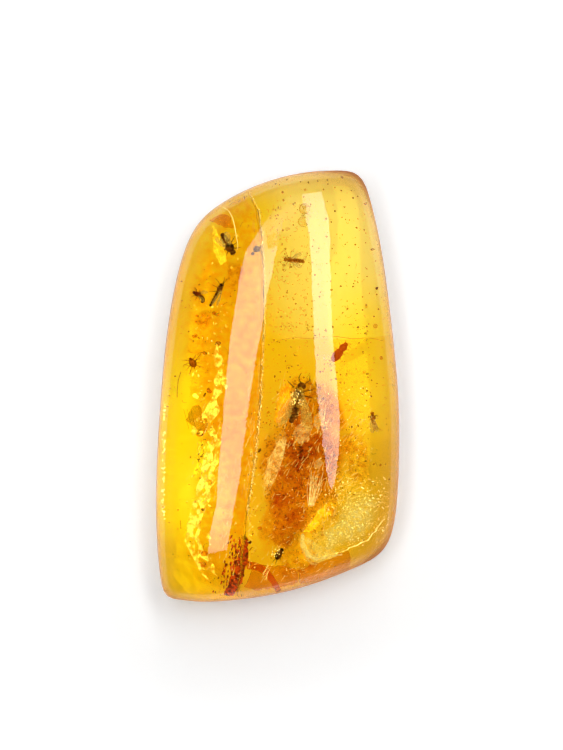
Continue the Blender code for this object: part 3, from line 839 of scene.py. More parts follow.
def make_insects(dark, brown, amber_brown, rust, membrane):
    def fly_body(bm):
        ball(bm, (0, 0.25, 0), (0.8, 0.92, 0.7))
        ball(bm, (0, 0.78, -0.08), (0.52, 0.44, 0.48))
        for side in (-1, 1):
            ball(bm, (side * 0.16, 0.84, -0.02), (0.2, 0.26, 0.3))
            limb(bm, ((side * 0.06, 0.96, 0.02), (side * 0.14, 1.12, 0.06)), 0.05)
        for k in range(4):
            ball(bm, (0, -0.34 - 0.22 * k, -0.1), (0.72 - 0.1 * k, 0.36, 0.56 - 0.06 * k))
        legs(bm, ((0.16, 0.45, -0.18), (0.2, 0.22, -0.2), (0.2, 0.0, -0.2)), 0.62, 0.22, 0.09)
        bristles(bm, (0, 0.25, 0), (0.62, 0.85, 0.62), 30, 0.14, 1)

    def fly_wings(bm):
        for side in (-1, 1):
            ribbed_wing(bm, (side * 0.14, 0.3, 0.2), 1.5, 0.62, side * 16)

    insect("fly", dark, membrane, "insect_dark", fly_body, fly_wings)

    def gnat_body(bm):
        ball(bm, (0, 0.62, 0), (0.46, 0.62, 0.5))
        ball(bm, (0, 0.98, -0.02), (0.32, 0.3, 0.36))
        for k in range(6):
            ball(bm, (0, 0.28 - 0.27 * k, -0.02 - 0.01 * k), (0.35 - 0.02 * k, 0.34, 0.36 - 0.02 * k))
        legs(bm, ((0.1, 0.8, -0.1), (0.12, 0.6, -0.1), (0.12, 0.42, -0.1)), 0.9, 0.35, 0.075)
        for side in (-1, 1):
            path = [(side * (0.06 + 0.39 * t * t), 1.08 + 0.67 * t, 0.05 + 0.05 * t) for t in np.linspace(
                0, 1, 6,
            )]
            limb(bm, path, 0.06)
            for point in path[1:]:
                for lean in (-1, 1):
                    rod(bm, point, Vector(point) + Vector((lean * 0.14, 0.1, 0.02)), 0.016, 0.006, sides=3)
        bristles(bm, (0, 0.62, 0), (0.46, 0.62, 0.5), 20, 0.12, 2)

    def gnat_wings(bm):
        ribbed_wing(bm, (0.12, 0.62, 0.18), 1.65, 0.55, 20)
        wing(bm, (-0.12, 0.62, 0.18), 1.65, 0.55, -10)

    insect("gnat", dark, membrane, "insect_dark", gnat_body, gnat_wings)

    def curled_body(bm):
        ball(bm, (0, 0.1, 0), (0.44, 0.58, 0.44))
        ball(bm, (0.02, 0.42, -0.05), (0.3, 0.28, 0.3))
        for k, (x, y) in enumerate(((-0.04, -0.22), (-0.1, -0.38), (-0.2, -0.5), (-0.34, -0.56), (-0.47, -0.52))):
            ball(bm, (x, y, -0.02), (0.36 - 0.03 * k, 0.3, 0.32 - 0.02 * k))
        legs(bm, ((0.1, 0.26, -0.06), (0.12, 0.08, -0.08), (0.1, -0.05, -0.08)), 0.5, 0.08, 0.07)

    def curled_wings(bm):
        wing(bm, (0.08, 0.1, 0.1), 0.85, 0.4, 38)
        wing(bm, (-0.08, 0.1, 0.1), 0.8, 0.36, -30)

    insect("curled_gnat", brown, membrane, "insect_brown", curled_body, curled_wings)

    def midge_body(bm):
        ball(bm, (0, 0.24, 0), (0.46, 0.6, 0.46))
        ball(bm, (0, 0.66, 0.0), (0.38, 0.32, 0.4))
        for k in range(4):
            ball(bm, (0, -0.14 - 0.22 * k, -0.02), (0.46 - 0.03 * k, 0.32, 0.42 - 0.03 * k))
        legs(bm, ((0.1, 0.42, -0.06), (0.12, 0.25, -0.08), (0.1, 0.1, -0.06)), 0.85, 0.2, 0.065)
        for side in (-1, 1):
            limb(bm, ((side * 0.07, 0.76, 0.05), (side * 0.16, 0.95, 0.08), (side * 0.25, 1.1, 0.1)), 0.05)

    def midge_wings(bm):
        ribbed_wing(bm, (0.08, 0.26, 0.14), 1.15, 0.46, 34)
        ribbed_wing(bm, (-0.08, 0.26, 0.14), 1.15, 0.46, -26)

    insect("midge", amber_brown, membrane, "insect_brown", midge_body, midge_wings)

    def beetle_body(bm):
        ball(bm, (0, 0.56, 0), (0.68, 0.72, 0.56), sides=24, rings=16)
        ball(bm, (0, 0.92, -0.06), (0.42, 0.36, 0.34))
        for side in (-1, 1):
            ball(bm, (side * 0.035, -0.3, 0.02), (0.72, 1.46, 0.6), sides=24, rings=18)
            limb(bm, ((side * 0.1, 1.02, 0), (side * 0.18, 1.14, 0.01), (side * 0.24, 1.22, 0.02)), 0.07)
        legs(bm, ((0.2, 0.5, -0.12), (0.22, 0.1, -0.14), (0.22, -0.3, -0.14)), 0.34, 0.16, 0.08)

    def beetle_wings(bm):
        wing(bm, (0.05, -0.75, -0.04), 0.85, 0.4, 6)

    insect("beetle", rust, membrane, "beetle_rust", beetle_body, beetle_wings)

    def mite_body(bm):
        ball(bm, (0, 0, 0), (0.62, 0.84, 0.5))
        ball(bm, (0, 0.42, -0.04), (0.3, 0.28, 0.24))
        legs(
            bm, ((0.12, 0.32, -0.08), (0.2, 0.14, -0.08), (0.2, -0.06, -0.08), (0.14, -0.24, -0.08)), 0.55,
            0.12, 0.075,
        )
        bristles(bm, (0, 0, 0), (0.62, 0.84, 0.5), 18, 0.1, 3)

    insect("mite", amber_brown, membrane, "insect_brown", mite_body)

    def small_fly_body(bm):
        ball(bm, (0, 0.34, 0), (0.46, 0.66, 0.44))
        ball(bm, (0, 0.78, -0.04), (0.36, 0.3, 0.34))
        for k in range(4):
            ball(bm, (0, -0.02 - 0.22 * k, -0.02), (0.42 - 0.04 * k, 0.32, 0.36 - 0.03 * k))
        legs(bm, ((0.1, 0.45, -0.06), (0.12, 0.25, -0.06)), 0.35, 0.1, 0.07)
        limb(bm, ((0.08, -0.2, -0.04), (0.38, -0.7, 0.04), (0.72, -0.92, -0.05)), 0.12)

    def small_fly_wings(bm):
        for side in (-1, 1):
            ribbed_wing(bm, (side * 0.07, 0.34, 0.14), 1.35, 0.5, side * 8)

    insect("small_fly", amber_brown, membrane, "insect_brown", small_fly_body, small_fly_wings)

    def springtail_body(bm):
        ball(bm, (0, 0, 0), (0.52, 0.92, 0.46))
        ball(bm, (0, 0.5, 0.02), (0.34, 0.34, 0.34))
        legs(bm, ((0.1, 0.26, -0.08), (0.12, 0.06, -0.1), (0.1, -0.1, -0.08)), 0.28, 0.06, 0.06)
        for side in (-1, 1):
            limb(
                bm, ((side * 0.05, -0.3, -0.02), (side * 0.11, -0.6, -0.04), (side * 0.16, -0.85, -0.06)), 0.08,
            )

    insect("springtail", dark, membrane, "insect_dark", springtail_body)

    def ant_body(bm):
        ball(bm, (0, 0.52, 0), (0.82, 1.25, 0.84))
        ball(bm, (0, 1.3, 0), (0.78, 0.72, 0.66))
        ball(bm, (0, -0.12, -0.03), (0.34, 0.3, 0.38))
        ball(bm, (0, -0.36, -0.03), (0.32, 0.3, 0.42))
        for k in range(5):
            wide = (0.8, 0.94, 0.9, 0.74, 0.5)[k]
            ball(bm, (0, -0.66 - 0.33 * k, -0.05), (wide, 0.5, wide * 0.92))
        legs(bm, ((0.25, 0.85, -0.25), (0.3, 0.5, -0.28), (0.26, 0.15, -0.26)), 1.1, 0.25, 0.12)
        for side in (-1, 1):
            ball(bm, (side * 0.26, 1.4, 0.08), (0.2, 0.26, 0.28))
            limb(
                bm,
                (
                    (side * 0.16, 1.55, 0.1), (side * 0.5, 1.95, 0.2), (side * 0.46, 2.2, 0.18),
                    (side * 0.4, 2.45, 0.15),
                ),
                0.09, 0.6,
            )
        bristles(bm, (0, 0.52, 0), (0.82, 1.25, 0.84), 40, 0.15, 4)

    def ant_wings(bm):
        ribbed_wing(bm, (0.22, 0.6, 0.24), 3.4, 1.05, 24)
        ribbed_wing(bm, (-0.24, 0.75, 0.24), 3.5, 1.3, -16, thick=0.05)

    insect("winged_ant", dark, membrane, "insect_dark", ant_body, ant_wings)


# ---------------------------------------------------------------- plant debris and clouded resin


def tube(bm, path, thick, sides=8):
    """A rounded cord through the points of a path. thick is its width, or a function of the share of its length."""
    shape = bmesh.new()
    points = [Vector(p) for p in path]
    loops = []
    for i, point in enumerate(points):
        ahead = points[min(i + 1, len(points) - 1)] - points[max(i - 1, 0)]
        turn = ahead.to_track_quat("Z", "X")
        share = i / (len(points) - 1)
        wide = (thick(share) if callable(thick) else thick) / 2
        loop = []
        for k in range(sides):
            angle = 2 * math.pi * k / sides
            loop.append((point + turn @ Vector((wide * math.cos(angle), wide * math.sin(angle), 0))) * MM)
        loops.append(add_loop(shape, loop))
    for lower, upper in zip(loops, loops[1:]):
        bmesh.ops.bridge_loops(shape, edges=lower + upper)
    bmesh.ops.contextual_create(shape, geom=loops[0])
    bmesh.ops.contextual_create(shape, geom=loops[-1])
    bmesh.ops.recalc_face_normals(shape, faces=shape.faces)
    stamp(bm, shape)


def sheet(bm, dome, corners, height, thick, wave, grain, seed, slope=(0, 0), cuts=5, ribs=0.0):
    """A thin, wavy sheet with these corners as seen from above, round a height. slope tips it along x and y."""
    shape = bmesh.new()
    face = shape.faces.new([shape.verts.new((x, y, 0)) for x, y in sunk(dome, corners, height)])
    middle = face.calc_center_median()
    long = max((v.co - middle).length for v in shape.verts)
    bmesh.ops.poke(shape, faces=[face])
    bmesh.ops.subdivide_edges(shape, edges=shape.edges, cuts=cuts, use_grid_fill=True)
    bmesh.ops.subdivide_edges(shape, edges=shape.edges, cuts=1, use_grid_fill=True)
    for vert in shape.verts:
        x, y = vert.co.x, vert.co.y
        push = 0.07 * long * noise.noise_vector(Vector((x * 2.5, y * 2.5, seed)))
        side = (x - middle.x) * slope[0] + (y - middle.y) * slope[1]
        z = height + side + wave * noise.noise(Vector((x * grain, y * grain, seed)))
        if ribs:
            z += ribs * math.sin((x * math.cos(0.33) + y * math.sin(0.33)) * 26)
        vert.co = Vector((x + push.x, y + push.y, z))
    bmesh.ops.solidify(shape, geom=shape.faces, thickness=thick)
    bmesh.ops.recalc_face_normals(shape, faces=shape.faces)
    bmesh.ops.scale(shape, verts=shape.verts, vec=(MM, MM, MM))
    stamp(bm, shape)


def veil(bm, dome, corners, height, wave, grain, seed, fade=0.5, rings=14, around=64, thick=0.04):
    """A thin wavy sheet with a rounded outline, whose cover fades away towards its border."""
    shape = bmesh.new()
    outline = closed_spline(sunk(dome, corners, height), around)
    middle = outline.mean(axis=0)
    loops, covers = [], []
    for step in range(1, rings + 1):
        share = step / rings
        loop = []
        for x, y in outline:
            at = Vector((*(middle + (np.array((x, y)) - middle) * share), 0))
            at.z = height + wave * noise.noise(Vector((at.x * grain, at.y * grain, seed)))
            loop.append(at * MM)
        loops.append(loop)
        covers.append(min(1.0, (1 - share) / fade))
    nested_rings(shape, loops, "cover", covers)
    bmesh.ops.solidify(shape, geom=shape.faces, thickness=thick * MM)
    bmesh.ops.recalc_face_normals(shape, faces=shape.faces)
    stamp(bm, shape)


def veil_material(name, mottle, light, dark, scale, contrast, bite, clear, opaque, glow=0.0):
    """For a veil. bite is how far the noise eats into its border. A clear veil tints what is seen through it,
    and an opaque one hides it by up to this share."""
    made = principled(name, light, 0.4 if opaque else 0.0, IOR=1.0 if clear else 1.45)
    tree = made.node_tree
    links = tree.links
    shader = tree.nodes["Principled BSDF"]
    where = object_place(tree)
    tones = use_group(tree, mottle, where, Light=(*light, 1), Dark=(*dark, 1), Scale=scale, Contrast=contrast)
    ragged = use_group(tree, mottle, where, Scale=scale * 0.37, Contrast=0.22)
    level = math_node(tree, "MULTIPLY", ragged.outputs["Mask"], bite)
    level = math_node(tree, "SUBTRACT", kept_value(tree, "cover"), level)
    mask = math_node(tree, "MULTIPLY", level, 2.5, clamp=True)
    if clear:
        shader.inputs["Transmission Weight"].default_value = 1.0
        links.new(mixed(tree, mask, (1, 1, 1), tones.outputs["Color"]), shader.inputs["Base Color"])
    else:
        # An opaque veil glows by emission in its own colours: painted light, not from any lamp.
        shader.inputs["Emission Strength"].default_value = glow
        links.new(tones.outputs["Color"], shader.inputs["Base Color"])
        links.new(tones.outputs["Color"], shader.inputs["Emission Color"])
        fine = math_node(tree, "MULTIPLY", tones.outputs["Mask"], mask)
        links.new(math_node(tree, "MULTIPLY", fine, opaque), shader.inputs["Alpha"])
    return made


def sunk_path(dome, path, height, count):
    """Points evenly along a path seen from above, moved to where they lie at a height."""
    return [tuple(dome.under(*along_path(path, share), height)) for share in np.linspace(0, 1, count)]


def sunk(dome, points, height):
    """Points seen from above, moved to where they lie at a height."""
    return [tuple(dome.under(x, y, height))[:2] for x, y in points]


def lump(bm, centre, size, turn, rough, grain, seed, fineness=3):
    """A rounded, knobbly lump."""
    shape = bmesh.new()
    bmesh.ops.create_icosphere(shape, subdivisions=fineness, radius=1)
    for vert in shape.verts:
        vert.co *= 1 + rough * noise.fractal(vert.co * grain + Vector((seed, 0, 0)), 0.8, 2.0, 3)
        vert.co = Vector([vert.co[k] * size[k] * MM / 2 for k in range(3)])
    spin = Euler([math.radians(a) for a in turn]).to_matrix().to_4x4()
    bmesh.ops.transform(shape, verts=shape.verts, matrix=Matrix.Translation(Vector(centre) * MM) @ spin)
    stamp(bm, shape)


def foil(bm, dome, path, breadth, height, wave, seed, thick=0.03, across=18, along=200):
    """A crumpled film along a path, standing for trapped air. It is bright where the metal finish it is given mirrors
    a light, and all over by painted light, as that finish glows by emission.
    """
    shape = bmesh.new()
    bmesh.ops.create_grid(shape, x_segments=across, y_segments=along, size=1)
    for vert in shape.verts:
        side, far = vert.co.x, (vert.co.y + 1) / 2
        x, y = along_path(path, far)
        wide = breadth * (0.3 + 1.5 * abs(noise.noise(Vector((far * 9, seed, 0)))))
        wide *= min(1, 6 * far + 0.15, 6 * (1 - far) + 0.15)
        x += side * wide / 2 + 0.35 * noise.noise(Vector((far * 14, seed + 5, 0)))
        z = height + wave * noise.noise(Vector((x * 1.1, y * 0.8, seed)))
        z += 0.5 * wave * noise.noise(Vector((x * 2.6, y * 1.7, seed + 4)))
        spot = dome.under(x, y, z)
        vert.co = Vector((spot.x, spot.y, z)) * MM
    bmesh.ops.solidify(shape, geom=shape.faces, thickness=thick * MM)
    bmesh.ops.recalc_face_normals(shape, faces=shape.faces)
    stamp(bm, shape)


def glitter(bm, dome, middle, spread, count, size, steep, heights, pick):
    """Small flat films standing for trapped air: painted glints, as their finish glows by emission."""
    for _ in range(count):
        x = middle[0] + spread[0] * pick.uniform(-1, 1)
        y = middle[1] + spread[1] * pick.uniform(-1, 1)
        long, z = pick.uniform(*size), pick.uniform(*heights)
        turn = (pick.uniform(-steep, steep), pick.uniform(-steep, steep), pick.uniform(0, 180))
        form = (long, long * pick.uniform(0.25, 0.8), 0.03)
        at = dome.under(x, y, min(z, dome.height(x, y) - 0.6))
        if dome.covers(*at):
            lump(bm, at, form, turn, 0.5, 1.4, x + y, fineness=1)


# Glitter, painted glints that glow by emission: its middle, how widely it spreads, how many films, their size, how
# steeply they tip and their heights.
GOLD_GLITTER = (
    ((-6.2, 4.6), (1.5, 3.2), 44, (0.06, 0.34), 35, (3.0, 4.8)),
    ((-7.0, -8.0), (0.9, 9.5), 60, (0.15, 0.7), 35, (3.0, 5.0)),
    ((-4.6, 12.5), (2.0, 3.2), 18, (0.1, 0.4), 35, (3.0, 5.0)),
    ((-2.4, -9.5), (0.4, 8.0), 30, (0.06, 0.22), 35, (3.0, 6.0)),
)
SILVER_GLITTER = (
    ((7.4, -11.6), (2.9, 3.2), 560, (0.03, 0.12), 40, (4.6, 5.8)),
    ((2.2, -5.6), (2.8, 4.6), 120, (0.03, 0.1), 40, (4.6, 5.8)),
    ((6.4, -3.6), (2.4, 3.6), 70, (0.03, 0.14), 40, (4.0, 6.0)),
    ((1.5, -14.6), (4.6, 3.0), 90, (0.03, 0.1), 40, (3.4, 4.6)),
    ((-5.0, -4.0), (3.4, 12.0), 80, (0.03, 0.12), 40, (3.4, 5.6)),
    ((5.0, 10.0), (4.6, 7.0), 40, (0.03, 0.08), 40, (3.4, 6.0)),
    ((1.8, -1.0), (0.6, 0.7), 64, (0.03, 0.16), 60, (6.2, 6.9)),
    ((-10.6, -7.0), (0.14, 5.5), 60, (0.08, 0.3), 40, (3.2, 3.8)),
    ((-0.2, -15.3), (0.4, 0.5), 24, (0.04, 0.14), 50, (4.2, 4.5)),
    ((-4.0, -16.2), (0.5, 2.2), 30, (0.03, 0.08), 50, (3.9, 4.3)),
)


def make_painted_glints(mottle, dome):
    """Painted glints where films of trapped air in healed cracks would sparkle: metal flakes that glow by emission,
    crumpled gold down one side and glitter elsewhere, with glowing streaks along the seam.
    """
    gold = mottled(
        "painted_gold_glint", mottle, (1.0, 0.86, 0.3), (0.75, 0.42, 0.03), 1900.0, 0.07, roughness=0.25,
        hide=(0.1, 0.9), glow=1.0, Metallic=1.0,
    )
    silver = mottled(
        "painted_silver_glint", mottle, (1.0, 0.97, 0.85), (1.0, 0.86, 0.5), 2600.0, 0.2, roughness=0.25, glow=2.0,
        Metallic=1.0,
    )
    pick = np.random.default_rng(17)
    bm = bmesh.new()
    foil(bm, dome, FOIL_PATH, 1.5, 4.4, 0.45, 1.0)
    foil(bm, dome, [(x + 0.75, y + 0.4) for x, y in FOIL_PATH[3:]], 1.0, 3.6, 0.4, 8.0, along=150)
    for swarm in GOLD_GLITTER:
        glitter(bm, dome, *swarm, pick)
    new_piece("painted_gold_glints", bm, gold, "amber", smooth_under=8)

    bm = bmesh.new()
    arc = (
        (-5.3, 16.7), (-5.0, 16.6), (-4.5, 16.25), (-4.15, 15.6), (-3.95, 14.8), (-3.8, 13.9), (-3.65, 13.0),
        (-3.75, 12.6),
    )
    path = []
    for share in np.linspace(0, 1, 40):
        x, y = along_path(arc, share)
        at = dome.under(x, y, min(5.2, dome.height(x, y) - 0.5))
        if dome.covers(*at):
            path.append(tuple(at))
    tube(bm, path, lambda t: 0.04 - 0.05 * abs(t - 0.5), sides=6)
    foil(bm, dome, ((3.3, -15.9), (6.0, -15.3), (8.4, -14.2), (9.9, -12.2)), 0.12, 4.2, 0.2, 6.0, along=60)
    for step in range(360):
        x, y = along_path(SEAM_PATH, 0.2 + 0.8 * step / 359)
        top = dome.height(x, y)
        size = pick.uniform(0.02, 0.08)
        at = (x + pick.normal() * 0.06, y, min(7.6, top - 0.45))
        lump(
            bm, at, (size, size * pick.uniform(0.6, 1.8), size), pick.uniform(0, 180, 3), 0.4, 1.5, step,
            fineness=1,
        )
    for swarm in SILVER_GLITTER:
        glitter(bm, dome, *swarm, pick)
    new_piece("painted_silver_glints", bm, silver, "amber", smooth_under=8)

    streaky = mottled(
        "seam_streaks", mottle, (1.0, 0.85, 0.45), (0.95, 0.62, 0.2), 2600.0, 0.2, roughness=0.3,
        hide=(0.1, 0.7), glow=0.45,
    )
    bm = bmesh.new()
    for _ in range(150):
        start = pick.uniform(0.22, 0.93)
        reach, off = pick.uniform(0.01, 0.06), 0.1 - abs(pick.normal()) * 0.55
        line = []
        for share in np.linspace(start, start + reach, 5):
            x, y = along_path(SEAM_PATH, share)
            z = min(6.6, dome.height(x, y) - 0.7)
            line.append(tuple(dome.under(x + off * (1 + 0.3 * pick.uniform()), y, z)))
        tube(bm, line, 0.014, sides=4)
    new_piece("seam_streaks", bm, streaky, "amber")


DEBRIS_MM = (
    (0.1, 0.9), (2.0, 1.6), (4.2, 0.9), (5.6, -0.8), (7.0, -3.0), (7.7, -5.6), (6.9, -8.2), (6.1, -10.4),
    (4.7, -12.4), (3.2, -14.0), (2.2, -15.8), (0.4, -17.0), (-1.6, -16.8), (-2.3, -14.4), (-1.6, -11.8),
    (-1.7, -9.4), (-2.4, -7.4), (-2.0, -5.2), (-0.9, -3.4), (-0.4, -1.2),
)
FOOT_MM = ((-0.2, -14.0), (1.2, -13.4), (3.4, -14.8), (4.4, -16.2), (3.2, -17.6), (0.6, -18.2), (-0.4, -16.6))
DARK_SPOTS_MM = (
    ((-0.8, -4.4), (0.8, -3.4), (3.4, -4.0), (6.0, -4.6), (6.4, -6.6), (4.6, -8.0), (2.2, -8.2), (0.2, -7.6)),
    ((0.2, -11.2), (1.8, -11.0), (2.8, -12.4), (2.2, -14.2), (0.6, -14.6), (-0.4, -13.0)),
    ((0.3, 0.8), (1.8, 1.3), (3.8, 0.9), (4.4, -1.0), (2.6, -1.6), (0.8, -1.0)),
    ((3.2, 0.9), (4.6, 0.7), (5.8, -0.6), (6.5, -2.6), (6.7, -4.6), (5.2, -4.4), (3.8, -3.4), (3.0, -1.4)),
    ((5.6, -3.0), (7.4, -3.2), (8.8, -5.4), (9.2, -8.2), (8.4, -10.4), (6.8, -9.8), (6.0, -7.4), (5.4, -5.0)),
    ((-1.0, -8.4), (0.8, -8.6), (1.2, -10.6), (0.0, -11.8), (-1.2, -10.8)),
    ((4.4, -8.8), (5.5, -9.3), (6.0, -10.8), (5.7, -12.4), (5.0, -13.1), (4.4, -12.2), (4.1, -10.4)),
    ((-0.6, -12.6), (1.2, -12.2), (2.0, -13.8), (1.2, -15.2), (-0.2, -15.2), (-1.0, -14.0)),
    ((-8.2, 9.6), (-7.2, 9.8), (-6.4, 8.8), (-7.0, 7.8), (-8.3, 8.2)),
    ((-7.4, 7.2), (-6.0, 7.4), (-5.4, 6.0), (-6.4, 4.8), (-7.8, 5.6)),
    ((-4.6, 12.2), (-3.0, 11.4), (-3.0, 8.8), (-4.2, 7.4), (-5.2, 9.8)),
)

# Pale splinters: where they lie, how widely, how many, their lean from the x axis in degrees and their length.
SPLINTERS = (
    ((2.6, -5.0), (1.2, 2.6), 70, 65, (0.2, 0.9)),
    ((4.3, -3.6), (0.5, 1.8), 30, 78, (0.4, 1.4)),
    ((7.2, -3.4), (0.9, 1.3), 46, 50, (0.2, 0.9)),
    ((6.6, -8.6), (1.0, 1.2), 40, 35, (0.2, 1.0)),
    ((4.4, -10.2), (0.8, 1.2), 36, 80, (0.2, 0.8)),
    ((2.0, -13.6), (2.6, 2.0), 60, 40, (0.1, 0.5)),
    ((-0.5, -7.4), (0.7, 2.0), 30, 60, (0.2, 0.8)),
    ((-2.5, -8.0), (0.25, 4.0), 60, 82, (0.2, 0.9)),
    ((-6.6, -7.0), (0.8, 3.4), 60, 70, (0.15, 0.7)),
    ((-4.8, -13.0), (0.8, 2.6), 40, 75, (0.15, 0.6)),
    ((8.2, -12.0), (1.4, 1.6), 50, 30, (0.1, 0.4)),
    ((0.45, -1.5), (0.28, 0.9), 26, 66, (0.8, 1.8)),
    ((-1.0, -16.9), (0.1, 0.4), 9, 58, (0.5, 1.3)),
    ((3.0, -17.0), (2.4, 0.7), 70, 30, (0.1, 0.5)),
)


def make_debris(mottle, dome):
    """Rotted wood: brown stains with grit, crumbs and pale splinters in them."""
    pick = np.random.default_rng(21)
    deep = veil_material("brown_stain", mottle, (0.99, 0.88, 0.5), (0.84, 0.56, 0.2), 520.0, 0.16, 0.4, True, 0)
    fine = veil_material("fine_stain", mottle, (1.0, 0.95, 0.7), (0.78, 0.5, 0.2), 2000.0, 0.14, 0.6, True, 0)
    bm = bmesh.new()
    veil(bm, dome, DEBRIS_MM, 3.0, 0.5, 0.5, 1.0, fade=0.45)
    veil(
        bm, dome, [(2.2 + (x - 2.2) * 0.8, -6.6 + (y + 6.6) * 0.85) for x, y in DEBRIS_MM], 4.0, 0.6, 0.6, 7.0,
        fade=0.6,
    )
    veil(bm, dome, DARK_SPOTS_MM[3], 3.5, 0.3, 0.6, 8.0, fade=0.6)
    new_piece("debris_stain", bm, deep, "debris", ("debris_clump",))
    bm = bmesh.new()
    veil(bm, dome, DEBRIS_MM, 3.5, 0.5, 0.7, 3.0, fade=0.6)
    veil(bm, dome, FOOT_MM, 3.2, 0.3, 0.6, 6.0, fade=0.5)
    for i, spot in enumerate(DARK_SPOTS_MM):
        veil(bm, dome, spot, 4.3 + 0.15 * i, 0.3, 0.8, 9.0 + i, fade=0.8)
    new_piece("debris_fine_stain", bm, fine, "debris", ("debris_clump",))

    crumb = mottled(
        "wood_crumbs", mottle, (0.98, 0.84, 0.45), (0.72, 0.45, 0.14), 1800.0, 0.16, roughness=0.15,
        Transmission_Weight=1.0, IOR=1.09,
    )
    bm = bmesh.new()
    for i in range(560):
        angle, far = pick.uniform(0, 2 * math.pi), pick.uniform(0, 1) ** 0.6
        at = (2.0 + 3.6 * far * math.cos(angle), -6.6 + 8.0 * far * math.sin(angle), pick.uniform(3.2, 5.0))
        big = pick.uniform(0.1, 0.45) * (1.2 - 0.5 * far)
        size = (big, big * pick.uniform(0.4, 1.2), big * pick.uniform(0.3, 0.7))
        lump(bm, at, size, pick.uniform(0, 180, 3), 0.6, 1.8, i * 1.7, fineness=1)
    new_piece("debris_crumbs", bm, crumb, "debris", ("debris_clump",))

    grit = mottled("dark_grit", mottle, (0.36, 0.13, 0.02), (0.1, 0.03, 0.006), 900.0, 0.2, roughness=0.5)
    bm = bmesh.new()
    for i in range(600):
        angle, far = pick.uniform(0, 2 * math.pi), pick.normal() * 0.45
        at = (2.0 + 3.2 * far * math.cos(angle), -6.0 + 7.6 * far * math.sin(angle), pick.uniform(3.4, 5.1))
        big = pick.uniform(0.02, 0.1)
        size = (big, big * pick.uniform(0.6, 2.4), big)
        lump(bm, at, size, pick.uniform(0, 180, 3), 0.5, 1.5, i * 1.3, fineness=1)
    new_piece("debris_grit", bm, grit, "debris", ("debris_clump",))

    pale = mottled(
        "pale_splinters", mottle, (1.0, 0.93, 0.66), (1.0, 0.75, 0.3), 1800.0, roughness=0.3, hide=(0.3, 1.0),
        glow=0.8,
    )
    bm = bmesh.new()
    for middle, spread, count, lean, long in SPLINTERS:
        for _ in range(count):
            x, y = middle[0] + spread[0] * pick.normal(), middle[1] + spread[1] * pick.normal()
            z = min(pick.uniform(4.4, 6.2), dome.height(x, y) - 0.7)
            turn = math.radians(lean + pick.normal() * 16)
            half = 0.5 * pick.uniform(*long)
            bow = pick.uniform(-0.15, 0.15) * half
            line = []
            for t in (-1, -0.4, 0.2, 1):
                far, side = half * t, bow * (1 - t * t)
                at = (
                    x + far * math.cos(turn) - side * math.sin(turn),
                    y + far * math.sin(turn) + side * math.cos(turn),
                )
                line.append(tuple(dome.under(*at, z + 0.1 * t)))
            if all(dome.covers(*point) for point in line):
                tube(bm, line, lambda t: 0.035 - 0.02 * t, sides=4)
    new_piece("debris_flakes", bm, pale, "debris", ("debris_clump",))


